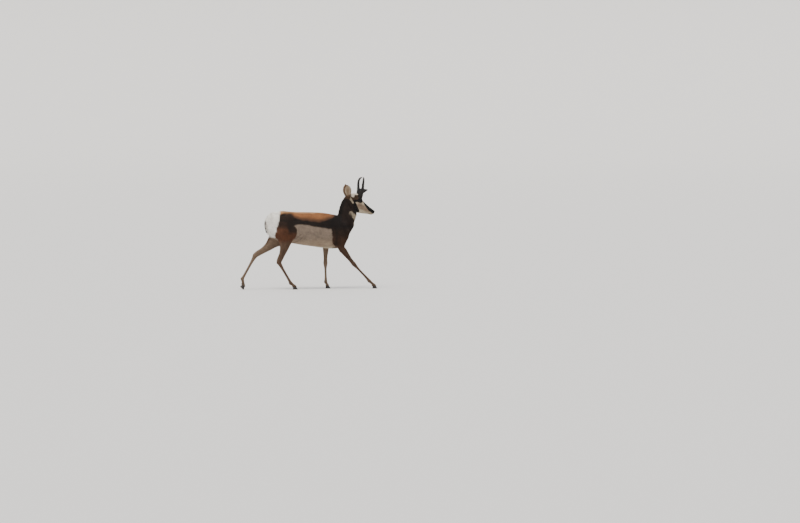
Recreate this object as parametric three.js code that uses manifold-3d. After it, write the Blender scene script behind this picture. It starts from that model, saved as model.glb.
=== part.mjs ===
// A pronghorn buck at life size, walking to the right with its head a little turned away.
// Millimetres: x runs forward, y to the animal's left, z up from the floor under its hooves.
import * as THREE from 'three';
import { mergeVertices } from 'three/addons/utils/BufferGeometryUtils.js';
import Module from 'manifold-3d';

const wasm = await Module();
wasm.setup();

// Driving dimensions.
const GAP = 0.3;
const SIDES = { right: -1, left: 1 };
// A length past the whole animal, for cuts that go right through.
const FAR = 1500;

// The trunk: height of the back and the belly, and half the width, at the places that set its shape.
const CROUP = 914;
const WITHERS = 853;
const BRISKET = 463;
const BARREL_HALF_WIDTH = 150;
const RUMP_END = -552;
const CHEST_END = 500;

// The head: its own axis drops towards the nose and the whole head turns a little to the left.
const NOSE_TIP = new THREE.Vector3(757, 0, 883);
const HEAD_PITCH = THREE.MathUtils.degToRad(28);
const HEAD_TURN = THREE.MathUtils.degToRad(6.5);
const NECK_PIVOT = new THREE.Vector3(450, 0, 1000);

// The eyes stand wide, under the horns.
const EYE = { back: 244, out: 48.5, up: 26, radius: 20 };
const EYE_OPENING = { length: 39, upper: 27, lower: 23, slope: THREE.MathUtils.degToRad(-14) };
const LID_THICKNESS = 4;

// The horns and ears, from where they leave the head.
const HORN_ROOT = { x: 573, y: 42, z: 1036 };
const HORN_TOP = 1288;
const HORN_SPREAD = 79;
const PRONG_HEIGHT = 1143;
const PRONG_TIP = 655;
const EAR_LENGTH = 201;
const EAR_HALF_WIDTH = 42;
const EAR_WALL = 5;
const EAR_BOW = 10;
// The right ear listens back and out, the left one forward.
const EARS = {
  right: { root: [428, -27, 1024], axis: [-0.197, -0.304, 0.932], faces: [-0.18, -0.93, 0.1] },
  left: { root: [430, 27, 1024], axis: [-0.012, 0.313, 0.95], faces: [0.72, 0.62, 0.1] },
};

// The joints of the four legs, and how far the sole of each hoof is tipped up at the heel.
const LEGS = {
  fore_right: {
    side: -1, kind: 'fore', tip: 0,
    joints: [[345, 78, 770], [375, 82, 650], [358, 82, 560], [325, 80, 486], [482, 74, 286],
      [668, 72, 92], [728, 72, 34]],
  },
  fore_left: {
    side: 1, kind: 'fore', tip: 0,
    joints: [[325, 78, 775], [318, 82, 690], [258, 82, 614], [189, 80, 545], [179, 74, 296],
      [184, 72, 78], [202, 72, 34]],
  },
  hind_right: {
    side: -1, kind: 'hind', tip: 0,
    joints: [[-400, 66, 770], [-285, 78, 600], [-411, 72, 313], [-270, 70, 76], [-224, 70, 34]],
  },
  hind_left: {
    side: 1, kind: 'hind', tip: 45,
    joints: [[-400, 66, 770], [-365, 78, 560], [-662, 72, 388], [-812, 70, 124], [-800, 70, 46]],
  },
};

// The claws of a hoof: length before and behind the coronet's middle, width of one claw, heights at
// the front and back of the coronet, and how the walls lean back, taper and close in at the toe.
const CLAW = {
  toe: 39, heel: 23, width: 19.5, cleft: 3.2, front: 40, back: 28,
  wall: 2.2, lean: 0.62, heelLean: 0.18, taper: 0.0075, pinch: 0.45,
};
const CLAW_HEIGHTS = [-2, 4, 14, 26, 38, 46];
// How far the pastern goes on inside the claws, and its reach and half width there.
const PASTERN_END = { length: 14, reach: 17.5, half: 18 };

// The mouth closes on a line that drops towards its corner; lips swell along both sides of it.
const MOUTH = { corner: 76, front: 6, height: -19, slope: -0.16 };
const LIP = { raise: 4.6, radius: 4, sink: 2.2 };
const MOUTH_GROOVE = { radius: 2.4, sink: 0.4 };

// Orbits and jaw muscles swell the skull: place in head space and radii.
const ORBIT = { back: EYE.back + 2, out: EYE.out - 6, up: EYE.up + 3, radii: [46, 27, 36] };
const JAW = { back: 208, out: 31, up: -44, radii: [66, 24, 54] };

// The wing of each nostril, its comma-shaped slit with the radius at each point, and its pit.
const NOSTRIL_WING = { at: [-13, 19, 3], radii: [13, 10, 10] };
const NOSTRIL_SLIT = {
  points: [[-1, 9, -6], [-1, 15, 0], [-7, 24, 5], [-18, 30, 7]],
  radii: [2.5, 4.5, 4, 1.5],
};
const NOSTRIL_PIT = { at: [-5, 17, 1], radii: [9, 5, 5] };

// The room that each leg takes out of the body. It opens sideways and down from the middle plane,
// under a slope from groin or armpit to the flank.
const ROOM = { floor: -60, top: 900, out: 220, rise: 300, groin: 548, armpit: BRISKET + 8 };
const ROOM_ENDS = { behind: 90, ahead: 80 };
// The front line of the thigh, from the groin to the hip.
const THIGH_FRONT = [[-262, 520], [-194, 640], [-214, 760], [-300, ROOM.top]];
const THIGH_FOOT = 430;
// The room round the upper arm, from the elbow: below it, ahead of it and behind it.
const ARM = { below: 70, ahead: 110, behind: 95, topAhead: 125, topBehind: 60 };

// A solid from a closed geometry, and a geometry from a solid.
function solid(geometry) {
  const plain = new THREE.BufferGeometry();
  plain.setAttribute('position', geometry.getAttribute('position').clone());
  if (geometry.index) {
    plain.setIndex(geometry.index.clone());
  }
  const merged = mergeVertices(plain, 1e-4);
  return new wasm.Manifold(new wasm.Mesh({
    numProp: 3,
    vertProperties: new Float32Array(merged.getAttribute('position').array),
    triVerts: new Uint32Array(merged.index.array),
  }));
}

function geometryOf(manifold) {
  const pieces = manifold.decompose();
  const largest = pieces.reduce((best, piece) => (piece.volume() > best.volume() ? piece : best));
  const mesh = largest.getMesh();
  const geometry = new THREE.BufferGeometry();
  geometry.setAttribute('position', new THREE.BufferAttribute(new Float32Array(mesh.vertProperties), 3));
  geometry.setIndex(new THREE.BufferAttribute(new Uint32Array(mesh.triVerts), 1));
  geometry.computeVertexNormals();
  return geometry;
}

// A smooth value between rows of numbers: row 0 at 0, row 1 at 1, and so on.
function between(rows, place) {
  const last = rows.length - 1;
  const start = Math.min(Math.floor(place), last - 1);
  const t = place - start;
  const row = (i) => rows[THREE.MathUtils.clamp(i, 0, last)];
  return rows[0].map((_, k) => {
    const [p, q, r, s] = [row(start - 1)[k], row(start)[k], row(start + 1)[k], row(start + 2)[k]];
    const bend = 2 * p - 5 * q + 4 * r - s;
    const twist = 3 * q - p - 3 * r + s;
    return 0.5 * (2 * q + (r - p) * t + bend * t * t + twist * t * t * t);
  });
}

// A closed skin through rings of points, with a flat fan at each end, turned to face out.
function skinOf(rings) {
  const count = rings[0].length;
  const points = rings.flat();
  const faces = [];
  for (let i = 0; i + 1 < rings.length; i += 1) {
    for (let j = 0; j < count; j += 1) {
      const k = (j + 1) % count;
      const [a, b, c, d] = [i * count + j, i * count + k, (i + 1) * count + k, (i + 1) * count + j];
      faces.push(a, b, c, a, c, d);
    }
  }
  const middle = (ring) => ring.reduce((sum, p) => sum.add(p), new THREE.Vector3()).divideScalar(count);
  const top = (rings.length - 1) * count;
  points.push(middle(rings[0]), middle(rings[rings.length - 1]));
  for (let j = 0; j < count; j += 1) {
    const k = (j + 1) % count;
    faces.push(points.length - 2, k, j);
    faces.push(points.length - 1, top + j, top + k);
  }
  let volume = 0;
  for (let i = 0; i < faces.length; i += 3) {
    const [a, b, c] = [points[faces[i]], points[faces[i + 1]], points[faces[i + 2]]];
    volume += a.dot(new THREE.Vector3().crossVectors(b, c));
  }
  const geometry = new THREE.BufferGeometry().setFromPoints(points);
  geometry.setIndex(volume < 0 ? faces.reverse() : faces);
  return geometry;
}

// A round power curve: 2 gives an ellipse, more gives squarer shoulders.
function rounded(value, power) {
  return Math.sign(value) * Math.abs(value) ** (2 / power);
}

// A limb or trunk lofted through rows of [x, y, z, lift, drop, side, liftPower, dropPower].
// Lift and drop are its reach above and below the path, or before and behind a path that runs down.
function loft(rows, { spacing, sides, grow = 0, facing = null }) {
  const rings = [];
  const across = new THREE.Vector3(0, 1, 0);
  const ringAt = (place) => {
    const [x, y, z, lift, drop, side, liftPower, dropPower] = between(rows, place);
    const step = 0.01;
    const before = new THREE.Vector3(...between(rows, Math.max(place - step, 0)));
    const after = new THREE.Vector3(...between(rows, Math.min(place + step, rows.length - 1)));
    const along = facing ? facing.clone() : after.sub(before).normalize();
    const out = across.clone().addScaledVector(along, -across.dot(along)).normalize();
    const up = new THREE.Vector3().crossVectors(along, out);
    const ring = [];
    for (let j = 0; j < sides; j += 1) {
      const angle = (2 * Math.PI * j) / sides;
      const [c, s] = [Math.cos(angle), Math.sin(angle)];
      const power = s > 0 ? liftPower : dropPower;
      const reach = (s > 0 ? lift : drop) + grow;
      ring.push(new THREE.Vector3(x, y, z)
        .addScaledVector(out, (side + grow) * rounded(c, power))
        .addScaledVector(up, reach * rounded(s, power)));
    }
    return ring;
  };
  for (let i = 0; i + 1 < rows.length; i += 1) {
    const [a, b] = [new THREE.Vector3(...rows[i]), new THREE.Vector3(...rows[i + 1])];
    const steps = Math.max(1, Math.round(a.distanceTo(b) / spacing));
    for (let n = 0; n < steps; n += 1) {
      rings.push(ringAt(i + n / steps));
    }
  }
  rings.push(ringAt(rows.length - 1));
  if (grow && facing) {
    rings[0].forEach((p) => p.addScaledVector(facing, -grow));
    rings[rings.length - 1].forEach((p) => p.addScaledVector(facing, grow));
  }
  return solid(skinOf(rings));
}

// A ball stretched to three radii.
function ball(at, radii, segments = 16) {
  const geometry = new THREE.SphereGeometry(1, segments, Math.round(segments * 0.7));
  geometry.scale(...radii);
  geometry.translate(...at);
  return solid(geometry);
}

function moved(manifold, matrix) {
  return manifold.transform(matrix.toArray());
}

// The trunk, from the buttocks to the point of the chest.
function trunk(grow) {
  const widths = (share) => BARREL_HALF_WIDTH * share;
  const level = (x, top, bottom, widest, half, roof = 2.1) => (
    [x, 0, widest, top - widest, widest - bottom, half, roof, 2.2]);
  const rows = [
    level(RUMP_END, 812, 700, 756, widths(0.28)),
    level(RUMP_END + 22, 862, 652, 748, widths(0.55)),
    level(-485, CROUP - 18, 600, 738, widths(0.72)),
    level(-415, CROUP - 5, 566, 722, widths(0.8)),
    level(-340, CROUP - 2, 548, 705, widths(0.82), 2),
    level(-240, CROUP - 12, 530, 688, widths(0.87), 2),
    level(-110, CROUP - 16, 508, 668, widths(0.95), 2),
    level(10, CROUP - 19, 492, 658, widths(1), 2),
    level(130, CROUP - 26, 474, 652, widths(0.97), 2),
    level(240, WITHERS + 16, BRISKET, 648, widths(0.89)),
    level(325, WITHERS, 476, 650, widths(0.8)),
    level(395, WITHERS - 16, 538, 672, widths(0.7)),
    level(450, WITHERS - 36, 640, 716, widths(0.56)),
    level(CHEST_END, WITHERS - 66, 716, 752, widths(0.3)),
  ];
  return loft(rows, { spacing: 56, sides: 26, grow, facing: new THREE.Vector3(1, 0, 0) });
}

// The neck stands up from the withers and the chest, deep from front to back.
function neck(grow) {
  const level = (z, back, front, half) => (
    [(back + front) / 2, 0, z, (back - front) / -2, (front - back) / 2, half, 2.2, 2]);
  const rows = [
    level(650, 350, 440, 70),
    level(720, 325, 478, 82),
    level(785, 310, 512, 86),
    level(850, 308, 534, 82),
    level(905, 318, 530, 74),
    level(955, 333, 512, 66),
    level(1005, 352, 498, 60),
    level(1048, 378, 490, 54),
    level(1072, 404, 478, 42),
  ].map(([x, y, z, lift, drop, side, front, nape]) => [x, y, z, drop, lift, side, nape, front]);
  return loft(rows, { spacing: 44, sides: 22, grow, facing: new THREE.Vector3(0, 0, 1) });
}

// Head space: x is minus the distance behind the nose tip, y left, z up from the axis.
const headMatrix = new THREE.Matrix4()
  .makeTranslation(NECK_PIVOT)
  .multiply(new THREE.Matrix4().makeRotationZ(HEAD_TURN))
  .multiply(new THREE.Matrix4().makeTranslation(NOSE_TIP.clone().sub(NECK_PIVOT)))
  .multiply(new THREE.Matrix4().makeRotationY(HEAD_PITCH));

// Rows of the head: distance behind the nose tip, top, bottom, height of the widest place,
// half the width, and how square the roof and the underside are.
const HEAD_ROWS = [
  [0, 7, -17, -5, 13, 2, 2],
  [5, 13, -26, -6, 22, 2.2, 2.2],
  [17, 18, -39, -9, 28.5, 2.4, 2.3],
  [40, 21, -48, -13, 29.5, 2.4, 2.2],
  [72, 25, -60, -14, 31, 2.3, 2],
  [105, 31, -73, -12, 36, 2.3, 1.9],
  [135, 37, -85, -9, 42, 2.3, 1.8],
  [165, 43, -96, -5, 49, 2.4, 1.8],
  [195, 51, -107, 0, 55, 2.5, 1.8],
  [225, 64, -113, 6, 59, 2.8, 1.9],
  [255, 80, -109, 12, 60, 3, 2],
  [285, 90, -98, 18, 58, 2.9, 2],
  [315, 87, -82, 20, 54, 2.6, 2],
  [345, 70, -64, 16, 48, 2.3, 2],
  [374, 42, -42, 4, 36, 2, 2],
];

// Half the width of the head at a distance behind the nose and a height.
function faceHalfWidth(back, up) {
  let place = 0;
  while (place < HEAD_ROWS.length - 2 && HEAD_ROWS[place + 1][0] < back) {
    place += 1;
  }
  const [from, to] = [HEAD_ROWS[place][0], HEAD_ROWS[place + 1][0]];
  const [, top, bottom, widest, half, roof, under] = between(HEAD_ROWS, place + (back - from) / (to - from));
  const reach = up > widest ? top - widest : widest - bottom;
  const power = up > widest ? roof : under;
  const share = Math.min(Math.abs(up - widest) / reach, 1);
  return half * (1 - share ** power) ** (1 / power);
}

function skull(grow) {
  const rows = HEAD_ROWS.map(([back, top, bottom, widest, half, roof, under]) => (
    [-back, 0, widest, top - widest, widest - bottom, half, roof, under]));
  const reversed = rows.reverse();
  const head = loft(reversed, { spacing: 22, sides: 26, grow, facing: new THREE.Vector3(1, 0, 0) });
  const orbits = Object.values(SIDES).map((side) => (
    ball([-ORBIT.back, side * ORBIT.out, ORBIT.up], ORBIT.radii.map((radius) => radius + grow), 14)));
  const cheeks = Object.values(SIDES).map((side) => (
    ball([-JAW.back, side * JAW.out, JAW.up], JAW.radii.map((radius) => radius + grow), 12)));
  return moved(head.add(orbits[0]).add(orbits[1]).add(cheeks[0]).add(cheeks[1]), headMatrix);
}

// The girths of the legs, the same on the left and the right.
// Each row is [joint before, share of the way to the next, front, back, side].
const GIRTHS = {
  hind: [
    [0, 0, 112, 104, 54], [0, 0.4, 112, 136, 62], [0, 0.75, 78, 148, 60], [1, 0, 50, 156, 52],
    [1, 0.2, 47, 112, 43], [1, 0.42, 41, 68, 34], [1, 0.65, 32, 44, 26], [1, 0.85, 27, 42, 21],
    [2, 0, 27, 30, 22], [2, 0.14, 21, 21, 18], [2, 0.3, 16, 17, 14.5], [2, 0.62, 14, 15, 13],
    [2, 0.88, 15, 17, 15], [3, 0, 18, 21, 18], [3, 0.5, 16, 16, 16], [4, 0, 20, 19, 20],
  ],
  fore: [
    [0, 0, 70, 80, 34], [1, 0, 60, 98, 42], [2, 0, 38, 76, 41], [3, 0, 45, 44, 36],
    [3, 0.22, 40, 41, 31], [3, 0.45, 31, 33, 26], [3, 0.75, 22, 24, 20], [4, 0, 24, 23, 21],
    [4, 0.12, 20, 20, 18], [4, 0.3, 13, 14.5, 13], [4, 0.65, 12.5, 13.5, 12.5],
    [4, 0.9, 15, 17, 15], [5, 0, 17, 20, 17], [5, 0.5, 15, 15, 15.5], [6, 0, 20, 19, 20],
  ],
};

// The loft runs through the middle of the flesh, behind the bone where more of it lies behind, and
// turns from the middle of one bone to the middle of the next.
function leg({ side, kind, joints }, grow) {
  const points = joints.map((joint) => new THREE.Vector3(...joint));
  const bones = points.slice(1).map((point, i) => point.clone().sub(points[i]).normalize());
  const rows = GIRTHS[kind].map(([joint, share, front, back, half]) => {
    const place = points[joint].clone().lerp(points[joint + 1] ?? points[joint], share);
    const station = THREE.MathUtils.clamp(joint + share - 0.5, 0, bones.length - 1);
    const [upper, lower] = [bones[Math.floor(station)], bones[Math.ceil(station)]];
    const bone = upper.clone().lerp(lower, station % 1).normalize();
    const backwards = new THREE.Vector3(bone.z, 0, -bone.x);
    place.addScaledVector(backwards, (back - front) / 2);
    const reach = (front + back) / 2;
    return [place.x, side * place.y, place.z, reach, reach, half, 2.1, 2.1];
  });
  const [ankle, end] = rows.slice(-2).map((row) => new THREE.Vector3(...row));
  const below = end.clone().sub(ankle).setLength(PASTERN_END.length).add(end);
  rows.push([...below, PASTERN_END.reach, PASTERN_END.reach, PASTERN_END.half, 2.1, 2.1]);
  return loft(rows, { spacing: 30, sides: 16, grow });
}

function flesh(grow) {
  let body = trunk(grow).add(neck(grow)).add(skull(grow));
  for (const one of Object.values(LEGS)) {
    body = body.add(leg(one, grow));
  }
  return body;
}

// A box between two corners.
function block(low, high) {
  const size = high.map((value, k) => value - low[k]);
  const geometry = new THREE.BoxGeometry(...size);
  geometry.translate(...high.map((value, k) => (value + low[k]) / 2));
  return solid(geometry);
}

// Space on the far side of a plane through two points of the side view, past them by an offset.
function beyond([x1, z1], [x2, z2], offset) {
  const along = new THREE.Vector3(x2 - x1, 0, z2 - z1).normalize();
  const across = new THREE.Vector3(0, 1, 0);
  const away = new THREE.Vector3().crossVectors(along, across);
  const matrix = new THREE.Matrix4().makeBasis(along, across, away)
    .setPosition(new THREE.Vector3(x1, 0, z1).addScaledVector(away, offset));
  return moved(block([-FAR, -FAR, 0], [FAR, FAR, FAR]), matrix);
}

// An outline moved out by a distance, corner by corner.
function spread(outline, distance) {
  const count = outline.length;
  return outline.map(([x, z], i) => {
    const [px, pz] = outline[(i + count - 1) % count];
    const [nx, nz] = outline[(i + 1) % count];
    const before = new THREE.Vector2(z - pz, px - x).normalize();
    const after = new THREE.Vector2(nz - z, x - nx).normalize();
    const out = before.add(after).normalize();
    return new THREE.Vector2(x, z).addScaledVector(out, distance / out.dot(after));
  });
}

// A prism with a given outline, from one depth to another, its outline set in two named axes.
function prism(outline, from, to, basis) {
  const shape = new THREE.Shape(outline);
  const geometry = new THREE.ExtrudeGeometry(shape, { depth: to - from, bevelEnabled: false });
  geometry.translate(0, 0, from);
  return moved(solid(geometry), basis);
}

// The room of one leg. The outlines run against the clock.
function legRoom({ side, kind, joints }, grow) {
  const [x, y, z] = [new THREE.Vector3(1, 0, 0), new THREE.Vector3(0, 1, 0), new THREE.Vector3(0, 0, 1)];
  const hind = kind === 'hind';
  const low = hind ? ROOM.groin : ROOM.armpit;
  const slope = [[0, ROOM.floor], [ROOM.out, ROOM.floor], [ROOM.out, low + ROOM.rise], [0, low]];
  const places = joints.map((joint) => joint[0]);
  const back = Math.min(...places) - ROOM_ENDS.behind;
  const front = Math.max(...places) + ROOM_ENDS.ahead;
  const elbow = joints[3];
  const armFoot = elbow[2] - ARM.below;
  const profile = hind
    ? [[back, ROOM.floor], [front, ROOM.floor], [front, THIGH_FOOT], ...THIGH_FRONT, [back, ROOM.top]]
    : [[back, ROOM.floor], [front, ROOM.floor], [front, armFoot], [elbow[0] + ARM.ahead, armFoot],
      [elbow[0] + ARM.topAhead, ROOM.top], [elbow[0] - ARM.topBehind, ROOM.top],
      [elbow[0] - ARM.behind, armFoot], [back, armFoot]];
  const [near, far] = [-GAP, ROOM.out + GAP];
  const endOn = new THREE.Matrix4().makeBasis(y, z, x);
  const sideOn = new THREE.Matrix4().makeBasis(x, z, y.clone().negate());
  const wedge = prism(spread(slope, grow), -FAR, FAR, endOn);
  const flat = prism(spread(profile, grow), -far, -near, sideOn);
  const room = wedge.intersect(flat);
  return side > 0 ? room : moved(room, new THREE.Matrix4().makeScale(1, -1, 1));
}

// Hoof space: x forward along the sole, y left, z up from the sole, under the coronet's middle.
function hoofMatrix({ side, joints, tip }) {
  const [x, y, z] = joints[joints.length - 1];
  const middle = (CLAW.front + CLAW.back) / 2;
  return new THREE.Matrix4().makeTranslation(x, side * y, z)
    .multiply(new THREE.Matrix4().makeRotationY(THREE.MathUtils.degToRad(tip)))
    .multiply(new THREE.Matrix4().makeTranslation(0, 0, -middle));
}

// Everything under the slope of the coronet, in hoof space.
function underCoronet(matrix, offset) {
  const slope = Math.atan2(CLAW.front - CLAW.back, CLAW.toe + CLAW.heel);
  const plane = new THREE.Matrix4()
    .makeTranslation(0, 0, (CLAW.front + CLAW.back) / 2)
    .multiply(new THREE.Matrix4().makeRotationY(-slope));
  const reach = 2 * CLAW.toe;
  return moved(block([-reach, -reach, -reach], [reach, reach, offset]), matrix.clone().multiply(plane));
}

// One claw: a pointed toe, a round heel and a flat inner wall, wider at the sole than above.
function claw(oneLeg, outward) {
  const rings = [];
  const sides = 18;
  for (const height of CLAW_HEIGHTS) {
    const narrowing = 1 - CLAW.taper * height;
    const ring = [];
    for (let j = 0; j < sides; j += 1) {
      const angle = (2 * Math.PI * j) / sides;
      const [c, s] = [Math.cos(angle), Math.sin(angle)];
      const x = c > 0 ? (CLAW.toe - CLAW.lean * height) * c : (CLAW.heel - CLAW.heelLean * height) * c;
      const pinch = c > 0 ? 1 - CLAW.pinch * c * c : 1;
      const y = s > 0 ? CLAW.width * narrowing * pinch * s : CLAW.wall * s * pinch;
      ring.push(new THREE.Vector3(x, outward * (CLAW.cleft / 2 + CLAW.wall + y), height));
    }
    rings.push(ring);
  }
  const matrix = hoofMatrix(oneLeg);
  const whole = moved(solid(skinOf(rings)), matrix);
  const overFloor = block([-FAR, -FAR, 0], [FAR, FAR, FAR]);
  return whole.intersect(underCoronet(matrix, -GAP)).intersect(overFloor);
}

// An ear: a stalk that opens to a leaf-shaped cup.
function ear({ root, axis: lean, faces }) {
  const axis = new THREE.Vector3(...lean).normalize();
  const towards = new THREE.Vector3(...faces);
  towards.addScaledVector(axis, -towards.dot(axis)).normalize();
  const broad = new THREE.Vector3().crossVectors(axis, towards);
  const half = EAR_HALF_WIDTH;
  // share of the length, half width, depth of the back, reach of the front
  const rows = [
    [0, half * 0.42, 16, 15], [0.12, half * 0.46, 18, 17], [0.25, half * 0.5, 19, 15],
    [0.35, half * 0.66, 22, 6], [0.46, half * 0.86, 25, -13], [0.58, half, 25, -25 + EAR_WALL],
    [0.71, half * 0.96, 21, -21 + EAR_WALL], [0.825, half * 0.76, 15, -15 + EAR_WALL],
    [0.92, half * 0.44, 9, -9 + EAR_WALL], [1, half * 0.08, 3, 1],
  ];
  const arc = 9;
  const rings = [];
  const steps = 15;
  for (let i = 0; i <= steps; i += 1) {
    const [share, wide, back, front] = between(rows, (i / steps) * (rows.length - 1));
    const centre = new THREE.Vector3(...root).addScaledVector(axis, share * EAR_LENGTH)
      .addScaledVector(towards, EAR_BOW * share);
    const point = (angle, reach, width) => centre.clone()
      .addScaledVector(broad, width * Math.cos(angle))
      .addScaledVector(towards, reach * Math.sin(angle));
    const ring = [];
    for (let j = 0; j < arc; j += 1) {
      ring.push(point((Math.PI * j) / arc, -back, wide));
    }
    for (let j = arc; j > 0; j -= 1) {
      const inside = wide - EAR_WALL * Math.min(1, share * 4);
      ring.push(point((Math.PI * j) / arc, front, j === arc ? wide : inside));
    }
    rings.push(ring);
  }
  return moved(solid(skinOf(rings)), turnMatrix);
}

// The turn of the head alone, for what is placed by the upright height of the animal.
const turnMatrix = new THREE.Matrix4().makeTranslation(NECK_PIVOT)
  .multiply(new THREE.Matrix4().makeRotationZ(HEAD_TURN))
  .multiply(new THREE.Matrix4().makeTranslation(NECK_PIVOT.clone().negate()));

// A horn rises over the eye, spreads, and hooks in at the top; its prong points forward.
function horn(side) {
  const { x, y, z } = HORN_ROOT;
  const rise = HORN_TOP - z;
  const path = (share, forward, out, front, back, half) => (
    [x + forward, side * out, z + rise * share, back, front, half, 2, 2.2]);
  const rows = [
    path(0, -9, y - 4, 20, 18, 14), path(0.13, -2, y, 26, 25, 17), path(0.26, 5, y + 7, 25, 24, 15),
    path(0.4, 10, y + 18, 24, 20, 12.5), path(0.54, 14, y + 29, 18, 16, 11),
    path(0.67, 16, HORN_SPREAD - 3, 14, 14, 10), path(0.8, 19, HORN_SPREAD, 12.5, 12, 9.5),
    path(0.905, 25, HORN_SPREAD - 9, 11, 11, 8.5), path(0.97, 32, HORN_SPREAD - 26, 9, 9, 7.5),
    path(1, 38, HORN_SPREAD - 45, 6.5, 6.5, 6), path(0.995, 42, HORN_SPREAD - 60, 2.5, 2.5, 2.5),
  ];
  const beam = loft(rows, { spacing: 17, sides: 12 });
  const out = side * (y + 18);
  const blade = [
    [x + 6, out, PRONG_HEIGHT - 10, 30, 27, 10, 2, 2],
    [x + 30, out, PRONG_HEIGHT - 6, 27, 23, 9, 2, 2],
    [x + 50, out, PRONG_HEIGHT - 2, 20, 17, 7.5, 2, 2],
    [x + 66, out, PRONG_HEIGHT + 1, 13, 11, 5.5, 2, 2],
    [PRONG_TIP - 6, out, PRONG_HEIGHT + 3, 7, 6, 4, 2, 2],
    [PRONG_TIP, out, PRONG_HEIGHT + 4, 2, 2, 2, 2, 2],
  ];
  const prong = loft(blade, { spacing: 18, sides: 10 });
  return moved(beam.add(prong), turnMatrix);
}

// The tail hangs short and flat against the rump.
function tail() {
  const rows = [
    [RUMP_END + 50, 0, 842, 16, 18, 22, 2, 2],
    [RUMP_END + 22, 0, 828, 16, 18, 24, 2, 2],
    [RUMP_END + 3, 0, 794, 14, 17, 26, 2, 2],
    [RUMP_END - 2, 0, 748, 13, 15, 27, 2, 2],
    [RUMP_END + 1, 0, 706, 11, 13, 24, 2, 2],
    [RUMP_END + 8, 0, 668, 7, 8, 15, 2, 2],
    [RUMP_END + 12, 0, 652, 2, 2, 4, 2, 2],
  ];
  return loft(rows, { spacing: 22, sides: 14 });
}

// A bead that follows points in head space, for lips and for the cuts of mouth and nostrils.
function bead(points, radii, sides = 6) {
  const rows = points.map((p, i) => [...p, radii[i]]);
  const rings = [];
  const steps = points.length - 1;
  for (let i = 0; i <= steps; i += 1) {
    const place = (i / steps) * (points.length - 1);
    const [x, y, z, radius] = between(rows, place);
    const ahead = new THREE.Vector3(...between(rows, Math.min(place + 0.05, points.length - 1)));
    const along = ahead.sub(new THREE.Vector3(...between(rows, Math.max(place - 0.05, 0)))).normalize();
    const up = new THREE.Vector3(0, 0, 1).addScaledVector(along, -along.z).normalize();
    const out = new THREE.Vector3().crossVectors(along, up);
    const ring = [];
    for (let j = 0; j < sides; j += 1) {
      const angle = (2 * Math.PI * j) / sides;
      ring.push(new THREE.Vector3(x, y, z)
        .addScaledVector(up, radius * Math.cos(angle)).addScaledVector(out, radius * Math.sin(angle)));
    }
    rings.push(ring);
  }
  return solid(skinOf(rings));
}

// The mouth runs from one corner round the front of the muzzle to the other.
function mouthPath(raise, sink) {
  const steps = 7;
  const side = [];
  for (let i = 0; i < steps; i += 1) {
    const back = MOUTH.corner - (MOUTH.corner - MOUTH.front) * (i / (steps - 1));
    const up = MOUTH.height + MOUTH.slope * back + raise;
    side.push([-back, faceHalfWidth(back, up) - sink, up]);
  }
  const front = [-sink, 0, MOUTH.height + raise];
  return [...side.map(([x, y, z]) => [x, -y, z]), front, ...side.reverse()];
}

function withFace(body) {
  const lips = [-LIP.raise, LIP.raise].map((raise) => {
    const path = mouthPath(raise, LIP.sink);
    return bead(path, Array(path.length).fill(LIP.radius));
  });
  const line = mouthPath(0, MOUTH_GROOVE.sink);
  const groove = bead(line, Array(line.length).fill(MOUTH_GROOVE.radius));
  const onSide = (point, side) => [point[0], side * point[1], point[2]];
  let face = body;
  for (const lip of lips) {
    face = face.add(moved(lip, headMatrix));
  }
  for (const side of Object.values(SIDES)) {
    const wing = ball(onSide(NOSTRIL_WING.at, side), NOSTRIL_WING.radii, 12);
    face = face.add(moved(wing, headMatrix));
  }
  face = face.subtract(moved(groove, headMatrix));
  for (const side of Object.values(SIDES)) {
    const slit = bead(NOSTRIL_SLIT.points.map((point) => onSide(point, side)), NOSTRIL_SLIT.radii, 8);
    const pit = ball(onSide(NOSTRIL_PIT.at, side), NOSTRIL_PIT.radii, 10);
    face = face.subtract(moved(slit.add(pit), headMatrix));
    face = withEye(face, side);
  }
  return face;
}

// Lids wrap the eyeball and part in an almond, low at the inner corner.
function withEye(body, side) {
  const centre = [-EYE.back, side * EYE.out, EYE.up];
  const lids = ball(centre, Array(3).fill(EYE.radius + LID_THICKNESS), 18);
  const socket = ball(centre, Array(3).fill(EYE.radius + GAP), 18);
  const { length, upper, lower, slope } = EYE_OPENING;
  const almond = new THREE.Shape();
  almond.moveTo(-length / 2, 0);
  almond.quadraticCurveTo(0, upper, length / 2, 0);
  almond.quadraticCurveTo(0, -lower, -length / 2, 0);
  const depth = 2 * EYE.radius;
  const geometry = new THREE.ExtrudeGeometry(almond, { depth, bevelEnabled: false, curveSegments: 6 });
  geometry.rotateZ(slope);
  geometry.rotateX(Math.PI / 2);
  geometry.translate(-EYE.back, side * EYE.out + (side > 0 ? depth + 5 : -5), EYE.up);
  const opening = solid(geometry);
  return body.add(moved(lids, headMatrix)).subtract(moved(socket.add(opening), headMatrix));
}

// Colours of the coat, the horn sheaths, the claws and the eyes.
const FINISHES = {
  tan: { color: 0xa9764c, roughness: 0.85, metalness: 0 },
  brown: { color: 0x5a3d29, roughness: 0.85, metalness: 0 },
  cream: { color: 0xe4d9c8, roughness: 0.88, metalness: 0 },
  black: { color: 0x1c1613, roughness: 0.55, metalness: 0 },
  claw: { color: 0x2a221c, roughness: 0.45, metalness: 0 },
  eye: { color: 0x120c08, roughness: 0.05, metalness: 0 },
};

const pronghorn = new THREE.Group();

function place(name, manifold, finish) {
  const mesh = new THREE.Mesh(geometryOf(manifold), new THREE.MeshStandardMaterial(FINISHES[finish]));
  mesh.name = name;
  pronghorn.add(mesh);
}

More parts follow.
